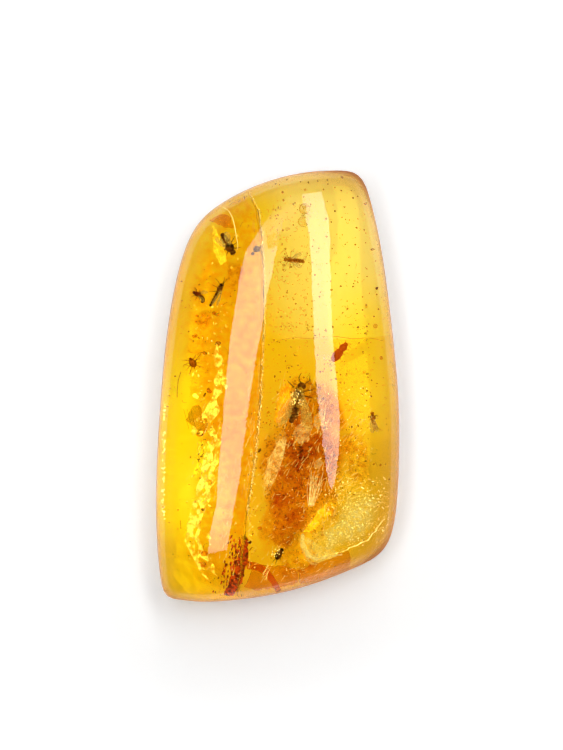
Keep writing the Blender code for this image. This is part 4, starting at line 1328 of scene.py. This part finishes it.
def make_plants(mottle, dome):
    scale_finish = mottled(
        "bud_scale", mottle, (0.82, 0.66, 0.42), (0.62, 0.42, 0.2), 2600.0, roughness=0.1, bump=0.05 * MM,
        Transmission_Weight=1.0, IOR=1.12,
    )
    bm = bmesh.new()
    corners = (
        (-8.5, -3.1), (-8.15, -2.4), (-7.95, -1.8), (-7.3, -1.7), (-6.95, -2.4), (-6.55, -3.3), (-6.5, -4.2),
        (-6.9, -4.45), (-7.6, -3.8),
    )
    sheet(bm, dome, corners, 3.95, 0.12, 0.1, 0.8, 2.0, slope=(0.1, 0.15))
    for across in (-0.3, 0.0, 0.3):
        rib = [(-7.75 + across + 0.45 * t, -2.1 - 1.9 * t, 4.1) for t in np.linspace(0, 1, 7)]
        tube(bm, rib, 0.04, sides=6)
    new_piece("bud_scale_blade", bm, scale_finish, "plant_flake", ("bud_scale",))

    scruff = mottled("scruff", mottle, (0.34, 0.2, 0.03), (0.06, 0.035, 0.008), 1200.0, roughness=0.6)
    pick = np.random.default_rng(8)
    bm = bmesh.new()
    for i in range(46):
        x, y = -6.95 + pick.normal() * 0.35, -6.4 + pick.normal() * 1.0
        at = dome.under(x, y, 4.3)
        size = pick.uniform(0.06, 0.26)
        lump(bm, at, (size, size * 0.6, size * 0.4), pick.uniform(0, 180, 3), 0.6, 1.8, i, fineness=1)
    new_piece("scruff", bm, scruff, "plant_flake")

    gold = mottled(
        "gold_flakes", mottle, (1.0, 0.8, 0.05), (0.8, 0.46, 0.01), 1100.0, 0.12, roughness=0.25,
        hide=(0.5, 1.0), glow=0.6,
    )
    bm = bmesh.new()
    flake = (
        (2.4, -13.4), (3.2, -12.4), (3.9, -11.3), (4.9, -10.6), (5.4, -10.9), (5.2, -11.8), (4.3, -12.5),
        (3.2, -13.4),
    )
    sheet(bm, dome, flake, 4.6, 0.05, 0.25, 1.6, 0.0, slope=(0.2, -0.2), ribs=0.04)
    new_piece("gold_flakes", bm, gold, "plant_flake")
    bright = mottled(
        "yellow_flake", mottle, (1.0, 0.85, 0.08), (0.8, 0.5, 0.02), 1500.0, 0.14, roughness=0.25,
        hide=(0.5, 1.0), glow=0.75,
    )
    bm = bmesh.new()
    wedge = (
        (-6.1, 14.9), (-5.85, 14.8), (-5.5, 14.1), (-5.0, 12.9), (-4.7, 11.6), (-5.3, 11.2), (-5.8, 12.4),
        (-6.0, 13.9),
    )
    sheet(bm, dome, wedge, 4.6, 0.05, 0.25, 1.6, 1.0, slope=(0.5, 0.2), ribs=0.04)
    spur = (
        (-7.3, -5.2), (-6.6, -5.0), (-6.2, -6.2), (-6.5, -7.6), (-7.0, -7.9), (-7.9, -8.6), (-7.5, -7.3),
        (-7.5, -6.2),
    )
    sheet(bm, dome, spur, 3.9, 0.05, 0.25, 1.6, 4.0, slope=(0.4, 0.1), ribs=0.04)
    new_piece("yellow_flake", bm, bright, "plant_flake")
    striped = mottled(
        "striped_flake", mottle, (1.0, 0.6, 0.02), (0.8, 0.32, 0.008), 1300.0, 0.12, roughness=0.25,
        hide=(0.75, 1.0), glow=0.7,
    )
    bm = bmesh.new()
    leaf = (
        (0.35, -0.3), (0.9, 0.35), (1.3, 0.1), (1.15, -1.3), (0.75, -2.4), (0.1, -3.4), (-0.25, -3.2),
        (-0.1, -1.9),
    )
    sheet(bm, dome, leaf, 5.9, 0.05, 0.2, 1.6, 2.0, slope=(-0.2, 0.1), ribs=0.05)
    new_piece("striped_flake", bm, striped, "plant_flake")

    orange = mottled(
        "orange_flakes", mottle, (0.93, 0.66, 0.1), (0.82, 0.48, 0.05), 1300.0, roughness=0.0, bump=0.02 * MM,
        Transmission_Weight=1.0, IOR=1.015,
    )
    bm = bmesh.new()
    blocks = (
        (
            ((-6.2, 15.3), (-5.5, 15.9), (-4.9, 16.0), (-4.4, 15.7), (-4.1, 14.7), (-4.7, 14.7), (-5.5, 15.0)),
            4.4, (0.2, 0.1), 0.15,
        ),
        (
            (
                (1.9, -17.2), (3.2, -16.6), (4.9, -16.1), (6.5, -15.3), (6.75, -15.8), (6.7, -16.9),
                (4.6, -17.7), (2.1, -18.3),
            ),
            3.4, (0, 0.1), 0.5,
        ),
        (((-2.2, -16.6), (1.6, -16.9), (2.0, -18.2), (-0.2, -18.9), (-3.0, -18.8)), 3.0, (0, 0.1), 0.4),
    )
    for i, (corners, height, slope, thick) in enumerate(blocks):
        sheet(bm, dome, corners, height, thick, 0.1, 1.0, i * 4.3 + 9, slope)
    new_piece("orange_flakes", bm, orange, "plant_flake")

    rind = mottled(
        "red_root", mottle, (0.9, 0.46, 0.1), (0.8, 0.3, 0.05), 1500.0, 0.2, roughness=0.2,
        Transmission_Weight=1.0, IOR=1.08,
    )
    bm = bmesh.new()
    arc = [
        (-2.8, -16.55, 3.6), (-2.2, -16.6, 3.7), (-1.5, -16.85, 3.75), (-0.95, -17.3, 3.75), (-0.5, -17.9, 3.7),
        (-0.1, -18.6, 3.5), (0.1, -19.0, 3.4),
    ]
    arc = [tuple(dome.under(x, y, z)) for x, y, z in arc]
    path = [along_path(arc, t) for t in np.linspace(0, 1, 22)]
    tube(bm, path, lambda t: 0.66 - 0.16 * t + 0.04 * math.sin(40 * t), sides=10)
    new_piece("red_root", bm, rind, "bark_red")

    bark = mottled(
        "red_bark", mottle, (0.72, 0.08, 0.012), (0.14, 0.012, 0.006), 3600.0, 0.07, roughness=0.4,
        bump=0.06 * MM, glow=0.45,
    )
    bm = bmesh.new()
    corners = (
        (-3.25, -13.8), (-2.6, -14.2), (-2.7, -15.9), (-3.2, -17.8), (-4.15, -19.5), (-5.0, -19.4),
        (-4.25, -17.8), (-3.65, -16.0),
    )
    sheet(bm, dome, corners, 3.65, 0.12, 0.2, 2.0, 5.0, cuts=6)
    for i in range(90):
        along = pick.uniform(0, 1)
        x, y = along_path(((-3.2, -13.9), (-3.5, -16.0), (-4.6, -19.4)), along)
        x -= abs(pick.normal()) * 0.6 + 0.15
        at = dome.under(x, y, 3.7)
        long = pick.uniform(0.15, 0.5)
        lump(bm, at, (long * 0.45, long, 0.08), (0, 0, pick.uniform(-35, 5)), 0.3, 1.2, i, fineness=1)
    new_piece("bark_sliver_strip", bm, bark, "bark_red", ("bark_sliver",))

    silk = mottled(
        "silvery_wing", mottle, (1.0, 0.9, 0.66), (1.0, 0.72, 0.35), 2600.0, 0.2, roughness=0.2,
        hide=(0.0, 0.09), glow=0.6,
    )
    bm = bmesh.new()
    corners = (
        (0.7, -3.9), (0.9, -4.6), (0.3, -6.6), (-0.75, -9.6), (-1.35, -10.3), (-1.45, -9.0), (-0.7, -6.4),
        (0.2, -4.2),
    )
    low = sunk(dome, corners, 5.1)
    sheet(bm, dome, corners, 5.1, 0.05, 0.2, 1.6, 3.0, slope=(-0.12, 0.03), cuts=7, ribs=0.05)
    new_piece("shed_wing_blade", bm, silk, "wing_membrane", ("shed_wing",))
    vein = mottled(
        "pale_veins", mottle, (1.0, 0.95, 0.8), (1.0, 0.75, 0.4), 2600.0, 0.12, roughness=0.2, hide=(0.1, 1.0),
        glow=0.85,
    )
    bm = bmesh.new()
    for share in np.linspace(-0.05, 1.05, 15):
        top, foot = Vector(low[0]).lerp(Vector(low[1]), share), Vector(low[5]).lerp(Vector(low[3]), share)
        start, end = pick.uniform(0, 0.25), pick.uniform(0.7, 1.05)
        rib = []
        for t in np.linspace(start, end, 12):
            at = top.lerp(foot, t)
            rib.append((at.x + 0.3 * math.sin(3.1 * t) * (share - 0.4), at.y, 5.2))
        tube(bm, rib, 0.026, sides=5)
    new_piece("shed_wing_veins", bm, vein, "wing_membrane")

    hair = mottled(
        "pale_hair", mottle, (1.0, 0.93, 0.85), (0.95, 0.75, 0.55), 2500.0, roughness=0.3, hide=(0.0, 0.9),
        glow=0.6,
    )
    bm = bmesh.new()
    for i in range(22):
        spread = pick.uniform(-1, 1)
        foot = dome.under(3.15 + 0.3 * spread, -11.1 + 0.2 * pick.uniform(), 5.25)
        tip = dome.under(3.75 + 0.75 * spread, -8.1 + 0.6 * pick.uniform(-1, 1), 5.4)
        sway = pick.uniform(-0.2, 0.2)
        strand = []
        for t in np.linspace(0, 1, 7):
            at = foot.lerp(tip, t)
            strand.append((at.x + sway * math.sin(math.pi * t), at.y, at.z - 0.1 * t * t))
        tube(bm, strand, lambda t: 0.05 - 0.03 * t, sides=5)
    new_piece("fibre_tuft_strands", bm, hair, "wing_membrane", ("fibre_tuft",))

    pink = mottled(
        "pink_scraps", mottle, (1.0, 0.82, 0.66), (0.95, 0.62, 0.4), 2600.0, 0.2, roughness=0.3,
        hide=(0.0, 0.42), glow=0.55,
    )
    bm = bmesh.new()
    scraps = (
        ((1.6, -3.8), (2.3, -3.3), (3.1, -3.9), (2.9, -5.0), (2.0, -5.3), (1.5, -4.6)),
        ((3.4, -2.8), (4.0, -2.2), (4.4, -3.0), (3.9, -4.0), (3.4, -3.7)),
        ((3.35, -7.0), (3.9, -6.6), (4.2, -7.0), (3.9, -7.6), (3.4, -7.5)),
        ((4.0, 2.9), (4.9, 3.0), (4.8, 2.4), (4.2, 2.4)),
    )
    for i, corners in enumerate(scraps):
        sheet(bm, dome, corners, 5.4, 0.03, 0.25, 2.4, i * 2.7, ribs=0.02)
    new_piece("pink_scraps", bm, pink, "wing_membrane")


CLOUD_MM = (
    (2.1, -14.4), (3.1, -16.3), (5.5, -15.6), (7.7, -15.0), (9.3, -13.6), (10.2, -12.1), (10.4, -10.0),
    (9.3, -8.9), (7.2, -8.9), (5.9, -10.4), (5.2, -12.2), (3.9, -13.3),
)


def make_cloud(mottle, dome):
    """Resin clouded by countless tiny bubbles, with a denser creamy border."""
    cloudy = veil_material(
        "clouded_resin", mottle, (0.97, 0.9, 0.45), (0.85, 0.7, 0.2), 800.0, 0.18, 0.6, False, 0.16, 0.36,
    )
    bm = bmesh.new()
    for i, (height, wave) in enumerate(((3.4, 0.3), (4.3, 0.4), (5.0, 0.3))):
        shrink = 1 - 0.08 * i
        corners = [(6.6 + (x - 6.6) * shrink, -12.2 + (y + 12.2) * shrink) for x, y in CLOUD_MM]
        veil(bm, dome, corners, height, wave, 0.6, 2.0 + i, fade=0.5)
    new_piece("resin_cloud", bm, cloudy, "amber")
    grainy = veil_material(
        "cloud_grain", mottle, (1.0, 1.0, 0.8), (0.8, 0.66, 0.2), 3200.0, 0.12, 0.8, False, 0.3, 0.45,
    )
    bm = bmesh.new()
    for i in range(2):
        corners = [(7.0 + (x - 7.0) * 0.85, -12.4 + (y + 12.4) * 0.85) for x, y in CLOUD_MM]
        veil(bm, dome, corners, 4.6 + 0.5 * i, 0.3, 0.7, 8.0 + i, fade=0.7)
    new_piece("cloud_grain", bm, grainy, "amber")
    milky = veil_material(
        "milky_tip", mottle, (1.0, 0.95, 0.74), (0.95, 0.82, 0.5), 2400.0, 0.2, 0.3, False, 0.38, 0.45,
    )
    bm = bmesh.new()
    tip = (
        (2.0, -13.9), (2.0, -14.9), (2.5, -16.0), (3.3, -16.7), (4.2, -16.3), (5.8, -15.6), (5.2, -14.9),
        (4.0, -14.7), (2.9, -13.9),
    )
    veil(bm, dome, tip, 4.2, 0.2, 0.8, 5.0, fade=0.35)
    new_piece("milky_tip", bm, milky, "amber")

    cream = mottled(
        "creamy_resin", mottle, (1.0, 0.95, 0.78), (0.98, 0.82, 0.45), 1800.0, 0.15, roughness=0.5,
        hide=(0.1, 0.75), bump=0.05 * MM, glow=0.5,
    )
    bm = bmesh.new()
    border = ((2.3, -13.6), (2.3, -14.6), (2.9, -15.7), (3.7, -16.0), (5.0, -15.7), (6.0, -15.5))
    path = sunk_path(dome, border, 4.4, 26)
    tube(
        bm, path,
        lambda t: 0.16 + 0.35 * math.sin(math.pi * min(1, 1.4 * t + 0.12)) ** 2 * (1 - t) + 0.06 * math.sin(37 * t),
        sides=14,
    )
    for vert in bm.verts:
        vert.co += 0.12 * MM * noise.noise_vector(vert.co / MM * 3)
    new_piece("creamy_border", bm, cream, "amber")


def curled(bm, at, turn, bend, step, rise, count, thick):
    """A thread that starts at a point and bends by the same angle at each step."""
    path = [tuple(at)]
    for _ in range(count):
        at = at + Vector((math.cos(turn), math.sin(turn), rise)) * step
        turn += bend
        path.append(tuple(at))
    tube(bm, path, thick, sides=4)


def make_dust(mottle, dome):
    """Specks, curled hairs and fine threads all through the stone."""
    pick = np.random.default_rng(33)
    speck = mottled("specks", mottle, (0.42, 0.16, 0.03), (0.1, 0.03, 0.01), 2000.0, roughness=0.6)
    bm = bmesh.new()
    for i in range(520):
        x, y = pick.uniform(-9.6, 9.8), pick.uniform(-18, 18)
        size = pick.uniform(0.03, 0.11) * pick.uniform(0.6, 1.2)
        depth = pick.uniform(0.15, 0.85)
        top = dome.height(x, y)
        if top < 5.2:
            continue
        lump(
            bm, (x, y, 0.8 + depth * (top - 1.6)), (size, size, size * 0.7), (0, 0, 0), 0.5, 1.5, i, fineness=1,
        )
    # Larger specks. The three near (-1.9, 12.7) are a painted shadow: a dark smudge where an insect's shadow falls.
    for x, y, size in (
        (9.2, 9.1, 0.3), (7.45, 5.5, 0.2), (-2.55, -14.4, 0.32), (0.75, -11.9, 0.16), (-1.9, 12.7, 0.7),
        (-1.5, 12.9, 0.35), (-2.3, 12.3, 0.35),
    ):
        lump(bm, dome.under(x, y, 4.2), (size, size * 0.8, size * 0.5), (0, 0, 20), 0.5, 1.6, x, fineness=2)
    new_piece("specks", bm, speck, "debris")

    thread = mottled("threads", mottle, (0.3, 0.13, 0.03), (0.12, 0.05, 0.015), 1500.0, roughness=0.5)
    bm = bmesh.new()
    for i in range(130):
        x, y = pick.uniform(-9, 9.6), pick.uniform(-16, 17)
        long, turn, curl = pick.uniform(0.1, 0.34), pick.uniform(0, 2 * math.pi), pick.uniform(-2.5, 2.5)
        depth = pick.uniform(0.3, 0.8)
        top = dome.height(x, y)
        if top < 5.6:
            continue
        curled(bm, Vector((x, y, 1 + depth * (top - 2))), turn, curl * 0.5, long / 2, 0.2, 4, 0.028)
    new_piece("threads", bm, thread, "debris")
    curl_finish = mottled(
        "curls", mottle, (0.75, 0.4, 0.08), (0.45, 0.2, 0.03), 1500.0, roughness=0.4, hide=(0.2, 0.9), glow=0.2,
    )
    bm = bmesh.new()
    for i in range(300):
        if i % 3:
            x, y = pick.uniform(-0.8, 4.2), pick.uniform(4.8, 16.5)
        else:
            x, y = pick.uniform(0.0, 9.8), pick.uniform(-6.0, 17.0)
        top = dome.height(x, y)
        if top < 5.6:
            continue
        turn, bend_by, long = pick.uniform(0, 6.28), pick.uniform(-1.6, 1.6), pick.uniform(0.05, 0.2)
        curled(bm, Vector((x, y, pick.uniform(0.35, 0.85) * top)), turn, bend_by, long / 1.6, 0, 5, 0.03)
    new_piece("curls", bm, curl_finish, "debris")
    bm = bmesh.new()
    hairs = (
        ((-8.95, 1.35), (-9.2, 0.6), (-9.3, -0.4), (-9.3, -1.0)), ((-7.0, 3.2), (-7.6, 2.4), (-7.7, 1.6)),
        ((-9.0, -12.4), (-8.95, -13.2)),
    )
    for hair in hairs:
        tube(bm, sunk_path(dome, hair, 4.0, 9), 0.045, sides=5)
    new_piece("long_hairs", bm, thread, "debris")

    border = mottled(
        "flow_border", mottle, (0.9, 0.5, 0.08), (0.7, 0.32, 0.04), 1300.0, roughness=0.4, hide=(0.1, 0.8),
        glow=0.3,
    )
    bm = bmesh.new()
    line = ((-0.6, 4.15), (0.6, 4.3), (1.8, 4.5), (4.4, 4.6), (8.1, 4.5), (9.8, 4.2))
    path = [(x, y + 0.08 * math.sin(1.7 * x), z) for x, y, z in sunk_path(dome, line, 4.2, 50)]
    tube(bm, path, 0.05, sides=5)
    new_piece("flow_border", bm, border, "amber")


LAYER_EDGE = (
    (-1.9, 17.6), (-3.4, 18.0), (-5.2, 16.9), (-7.2, 14.4), (-8.6, 10.5), (-9.3, 6.0), (-9.2, 2.6), (-8.3, 0.2),
    (-7.9, -3.5), (-7.7, -6.5), (-8.2, -9.5), (-8.9, -12.5), (-8.9, -15.5), (-7.6, -18.0), (-5.0, -19.2),
)


def make_layer(mottle, dome):
    """The older, darker flow of resin on one side of the seam, with a grainy skin."""
    finish = mottled(
        "old_flow", mottle, (1.0, 0.92, 0.5), (0.9, 0.6, 0.14), 1500.0, 0.16, roughness=0.0, bump=0.05 * MM,
        Transmission_Weight=1.0, IOR=1.05,
    )
    tree = finish.node_tree
    shader = tree.nodes["Principled BSDF"]
    tone = shader.inputs["Base Color"].links[0].from_socket
    tree.links.new(mixed(tree, kept_value(tree, "cover"), (1, 1, 1), tone), shader.inputs["Base Color"])
    bm = bmesh.new()
    kept = bm.verts.layers.float.new("cover")
    bmesh.ops.create_grid(bm, x_segments=44, y_segments=170, size=1)
    for vert in bm.verts:
        side, far = (vert.co.x + 1) / 2, (vert.co.y + 1) / 2
        left = along_path(LAYER_EDGE[::-1], far)
        right = along_path(SEAM_PATH, far)
        x, y = left[0] + (right[0] - left[0]) * side, left[1] + (right[1] - left[1]) * side
        x += 0.5 * noise.noise(Vector((y * 0.9, 3.1, 0))) * (1 - side)
        z = 2.3 + 0.35 * noise.noise(Vector((x * 0.5, y * 0.5, 0))) + 0.12 * noise.noise(Vector((x * 2.2, y * 1.4, 5)))
        spot = dome.under(x, y, z)
        vert.co = Vector((spot.x, spot.y, z)) * MM
        ragged = 0.12 * noise.noise(Vector((x * 1.3, y * 1.3, 7)))
        vert[kept] = max(0.0, min(1.0, 4.5 * (side + ragged) - 0.2, 14 * far, 14 * (1 - far)))
    under = bmesh.ops.duplicate(bm, geom=bm.faces)
    for vert in under["geom"]:
        if isinstance(vert, bmesh.types.BMVert):
            vert.co.z -= (0.02 + 0.28 * vert[kept]) * MM
    bmesh.ops.reverse_faces(bm, faces=[f for f in under["geom"] if isinstance(f, bmesh.types.BMFace)])
    bmesh.ops.bridge_loops(bm, edges=[e for e in bm.edges if len(e.link_faces) == 1])
    bmesh.ops.recalc_face_normals(bm, faces=bm.faces)
    new_piece("old_flow", bm, finish, "amber")


# The crust's cover at each height, and where it is browner and wider: place, how widely, how much.
CRUST_LEVELS = (
    (3.3, 0.0), (3.6, 0.85), (4.2, 0.7), (4.6, 0.5), (5.0, 0.3), (5.4, 0.16), (5.9, 0.06), (6.5, 0.0),
)
CRUST_BROWN = (0.42, 0.13, 0.012)
CRUST_SPOTS = (
    ((6.6, 19.6), 3.6, 1.0), ((9.4, -15.4), 2.4, 0.7), ((3.0, -18.4), 5.0, 0.3), ((-9.0, -20.0), 3.0, 0.3),
)


def make_painted_rim_crust(mottle):
    """A thin crust along the edge, brown and wider at two corners. It also paints the rim: its cover lays its own
    colour over the lower rim's reflections, and it glows a little by emission, which is painted light.
    """
    finish = mottled(
        "brown_painted_rim_crust", mottle, (0.92, 0.54, 0.2), (0.72, 0.34, 0.08), 700.0, 0.25, roughness=0.55, glow=0.32,
    )
    tree = finish.node_tree
    shader = tree.nodes["Principled BSDF"]
    tone = shader.inputs["Base Color"].links[0].from_socket
    tone = mixed(tree, kept_value(tree, "brown"), tone, CRUST_BROWN)
    tree.links.new(tone, shader.inputs["Base Color"])
    tree.links.new(tone, shader.inputs["Emission Color"])
    tree.links.new(kept_value(tree, "cover"), shader.inputs["Alpha"])
    outline = stone_outline()
    bm = bmesh.new()
    kept, browner = bm.verts.layers.float.new("cover"), bm.verts.layers.float.new("brown")
    lines = []
    for height, level in CRUST_LEVELS:
        rise = max(0.0, (height * MM - GIRDLE) / (HEIGHT - GIRDLE))
        share = (1 - rise**DOME_POWER) ** (1 / DOME_POWER) + 0.0014
        line = []
        for point in ring(outline, share, height * MM):
            x, y = point.x / MM, point.y / MM
            spot = 0.0
            for (at_x, at_y), reach, much in CRUST_SPOTS:
                spot += much * math.exp(-((x - at_x) ** 2 + (y - at_y) ** 2) / reach**2)
            spot = min(1.0, spot)
            strength = 0.5 + 0.015 * x + 0.25 * noise.noise(Vector((x * 0.3, y * 0.3, 2)))
            vert = bm.verts.new(point)
            vert[kept] = min(0.96, level * (strength + 1.6 * spot))
            vert[browner] = spot * min(1.0, 1.6 * level + 0.3)
            line.append(vert)
        lines.append(line)
    for lower, upper in zip(lines, lines[1:]):
        for i in range(len(lower)):
            bm.faces.new((lower[i - 1], lower[i], upper[i], upper[i - 1]))
    bmesh.ops.solidify(bm, geom=bm.faces, thickness=0.006 * MM)
    bmesh.ops.recalc_face_normals(bm, faces=bm.faces)
    new_piece("painted_rim_crust", bm, finish, "amber")


# ---------------------------------------------------------------- studio


# Each lamp in rows: how far fore it is, its left and right border and its brightness. Places are shares of the
# height it hangs at.
LAMP_HEIGHT = 0.4
LEFT_STRIP = (
    (-0.54, -0.450, -0.190, 3.4),
    (-0.35, -0.482, -0.209, 3.9),
    (-0.25, -0.510, -0.222, 4.4),
    (-0.15, -0.520, -0.235, 4.8),
    (-0.08, -0.500, -0.245, 4.9),
    (-0.045, -0.474, -0.230, 4.9),
    (-0.01, -0.452, -0.185, 4.9),
    (0.03, -0.443, -0.150, 4.9),
    (0.07, -0.440, -0.138, 4.9),
    (0.12, -0.446, -0.138, 4.9),
    (0.2, -0.447, -0.148, 4.8),
    (0.28, -0.440, -0.152, 4.4),
    (0.39, -0.432, -0.160, 4.2),
    (0.55, -0.430, -0.170, 3.4),
    (0.8, -0.440, -0.200, 2.2),
    (1.1, -0.450, -0.220, 1.1),
    (1.6, -0.480, -0.260, 0.0),
)
RIGHT_STRIP = (
    (-0.2, 0.430, 0.445, 5.4),
    (-0.177, 0.416, 0.465, 5.4),
    (-0.131, 0.399, 0.508, 5.4),
    (-0.1, 0.386, 0.533, 5.4),
    (-0.08, 0.370, 0.544, 5.4),
    (-0.06, 0.340, 0.545, 5.4),
    (-0.04, 0.306, 0.538, 5.4),
    (-0.02, 0.278, 0.518, 5.4),
    (0.0, 0.264, 0.500, 5.4),
    (0.03, 0.258, 0.490, 5.5),
    (0.07, 0.270, 0.498, 5.6),
    (0.1, 0.272, 0.515, 5.7),
    (0.15, 0.251, 0.555, 5.8),
    (0.21, 0.212, 0.566, 5.8),
    (0.3, 0.168, 0.560, 5.6),
    (0.4, 0.135, 0.520, 5.4),
    (0.57, 0.068, 0.460, 5.2),
    (0.85, 0.000, 0.345, 5.0),
    (1.4, -0.110, 0.275, 4.6),
    (2.2, -0.200, 0.230, 4.2),
)
FAR_GLOW = (
    (0.38, -0.24, 0.10, 0.0),
    (0.55, -0.32, 0.08, 0.7),
    (0.8, -0.40, 0.04, 1.2),
    (1.1, -0.46, 0.0, 1.3),
    (1.8, -0.62, -0.12, 0.9),
    (3.0, -0.80, -0.30, 0.0),
)


def hanging_lamp(name, rows, soft):
    """A glowing sheet over the stone. soft is how much of its width fades away on each side."""
    bm = bmesh.new()
    kept = bm.verts.layers.float.new("glow")
    lines = []
    for fore, left, right, strength in rows:
        line = []
        for share, part in ((0, 0.0), (soft, 1.0), (1 - soft, 1.0), (1, 0.0)):
            vert = bm.verts.new(Vector((left + (right - left) * share, fore, 1)) * LAMP_HEIGHT)
            vert[kept] = strength * part
            line.append(vert)
        lines.append(line)
    for aft, fore in zip(lines, lines[1:]):
        for i in range(len(aft) - 1):
            bm.faces.new((aft[i], fore[i], fore[i + 1], aft[i + 1]))
    finish = principled(name, (0, 0, 0), 1.0)
    tree = finish.node_tree
    shader = tree.nodes["Principled BSDF"]
    shader.inputs["Specular IOR Level"].default_value = 0.0
    shader.inputs["Emission Color"].default_value = (1, 1, 1, 1)
    tree.links.new(kept_value(tree, "glow"), shader.inputs["Emission Strength"])
    lamp = new_piece(name, bm, finish, None)
    lamp.visible_camera = False
    lamp.visible_shadow = False


# How bright the pale table glows, painting light and shade on it: a brighter pool under the stone and a painted shadow
# just beside it. Outward distance from the stone's edge in millimetres, and strength.
TABLE_PAINTED_LIGHT_AND_SHADE = (
    (-5.0, 0.64), (-2.5, 0.62), (-1.0, 0.5), (0.0, 0.34), (1.5, 0.36), (4.0, 0.33), (8.0, 0.33), (16.0, 0.46),
)
# The painted pool of light ends in a soft border: half its width and length in millimetres, and how much it glows
# there.
TABLE_GREYS = (0.22, 0.9)
TABLE_PAINTED_POOL = (((31, 40), 0.56), ((34, 43), 0.35), ((38, 47), 0.05), ((1200, 1200), 0.03))


def make_table():
    """The table is built in rings round the stone, so that its glow paints a shadow just beside the stone and a
    brighter pool under it.
    """
    outline = [Vector((p[0], p[1], 0)) for p in stone_outline()]
    bm = bmesh.new()
    level = Vector((0, 0, -0.05 * MM))
    rings = [[p + p.normalized() * reach * MM + level for p in outline] for reach, _ in TABLE_PAINTED_LIGHT_AND_SHADE]
    for (wide, long), _ in TABLE_PAINTED_POOL:
        rings.append([p * min(wide / abs(p.x), long / abs(p.y)) * MM + level for p in outline])
    nested_rings(bm, rings, "glow", [strength for _, strength in TABLE_PAINTED_LIGHT_AND_SHADE + TABLE_PAINTED_POOL])
    bmesh.ops.recalc_face_normals(bm, faces=bm.faces)
    if sum(face.normal.z for face in bm.faces) < 0:
        bmesh.ops.reverse_faces(bm, faces=bm.faces)
    table = principled("table", (0.9, 0.9, 0.9), 0.7)
    tree = table.node_tree
    shader = tree.nodes["Principled BSDF"]
    shader.inputs["Emission Color"].default_value = (1, 1, 1, 1)
    glow = kept_value(tree, "glow")
    tree.links.new(glow, shader.inputs["Emission Strength"])
    # Its grey follows the glow, so it is darker where the painted light is dim.
    paler = mapped(tree, glow, 0.03, 0.33, TABLE_GREYS)
    tree.links.new(paler.outputs["Result"], shader.inputs["Base Color"])
    new_piece("table", bm, table, None)


# The bright walls of the light tent: height as the sine of the elevation, and strength.
SKY = ((0.0, 1.5), (0.1, 1.2), (0.25, 0.5), (0.4, 0.1), (0.55, 0.02))
SKY_BEHIND, SKY_BEFORE, SKY_BESIDE = 0.4, 0.1, 0.2


# What the camera sees: its height in millimetres, and where its middle lies.
FIELD_MM = 69.675
FIELD_MIDDLE_MM = (0.37, 1.07)
LENS, SENSOR = 240, 36
BOUNCES = 24


def make_studio():
    scene = bpy.context.scene
    scene.view_settings.view_transform = "Standard"
    scene.cycles.max_bounces = BOUNCES
    scene.cycles.transmission_bounces = BOUNCES
    scene.cycles.transparent_max_bounces = 32
    world = bpy.data.worlds.new("studio")
    scene.world = world
    world.use_nodes = True
    tree = world.node_tree
    nodes, links = tree.nodes, tree.links
    where = nodes.new("ShaderNodeTexCoord")
    split = nodes.new("ShaderNodeSeparateXYZ")
    links.new(where.outputs["Generated"], split.inputs[0])
    links.new(grey_ramp(tree, split.outputs["Z"], SKY, "B_SPLINE"), nodes["Background"].inputs[0])
    along = math_node(tree, "MULTIPLY_ADD", split.outputs["Y"], 0.5, 0.5)
    front = grey_ramp(tree, along, ((0.1, SKY_BEFORE), (0.4, 1.0), (0.65, 1.0), (0.95, SKY_BEHIND)), "EASE")
    sideways = math_node(tree, "ABSOLUTE", split.outputs["X"])
    sideways = math_node(tree, "MULTIPLY_ADD", sideways, SKY_BESIDE - 1, 1.0)
    links.new(math_node(tree, "MULTIPLY", sideways, front), nodes["Background"].inputs[1])

    hanging_lamp("strip_left", LEFT_STRIP, 0.02)
    hanging_lamp("strip_right", RIGHT_STRIP, 0.02)
    hanging_lamp("far_glow", FAR_GLOW, 0.48)
    make_table()

    data = bpy.data.cameras.new("camera")
    data.sensor_fit = "VERTICAL"
    data.sensor_height = SENSOR
    data.lens = LENS
    data.clip_start = 0.01
    camera = bpy.data.objects.new("camera", data)
    x, y = FIELD_MIDDLE_MM
    camera.location = (x * MM, y * MM, GIRDLE + FIELD_MM * MM * LENS / SENSOR)
    bpy.context.scene.collection.objects.link(camera)
    scene.camera = camera


def main():
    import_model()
    zone, mottle = zone_group(), mottle_group()
    shell = stone_shell()
    dome = Dome(shell)
    hollows(shell, dome)
    new_piece("amber", shell, amber_material(zone), "amber", ("amber_lower", "amber_upper"), 60)

    dark = mottled(
        "dark_cuticle", mottle, (0.3, 0.1, 0.012), (0.04, 0.012, 0.003), 2600.0, 0.13, roughness=0.35, glow=0.2,
    )
    brown = mottled(
        "brown_cuticle", mottle, (0.5, 0.17, 0.03), (0.12, 0.03, 0.006), 2500.0, roughness=0.35,
        Transmission_Weight=0.6, IOR=1.1,
    )
    amber_brown = mottled(
        "amber_cuticle", mottle, (0.8, 0.36, 0.06), (0.35, 0.1, 0.01), 3000.0, 0.15, roughness=0.3,
        Transmission_Weight=0.7, IOR=1.1,
    )
    rust = mottled(
        "rust_cuticle", mottle, (0.8, 0.2, 0.02), (0.5, 0.09, 0.01), 2500.0, roughness=0.3, glow=0.25,
        Transmission_Weight=0.5, IOR=1.1,
    )
    membrane = mottled(
        "wing_membrane", mottle, (1.0, 0.86, 0.5), (0.8, 0.5, 0.14), 2500.0, roughness=0.25, hide=(0.15, 0.45),
        glow=0.25,
    )
    make_insects(dark, brown, amber_brown, rust, membrane)
    make_layer(mottle, dome)
    make_painted_glints(mottle, dome)
    make_debris(mottle, dome)
    make_plants(mottle, dome)
    make_cloud(mottle, dome)
    make_dust(mottle, dome)
    make_painted_rim_crust(mottle)
    make_studio()


main()
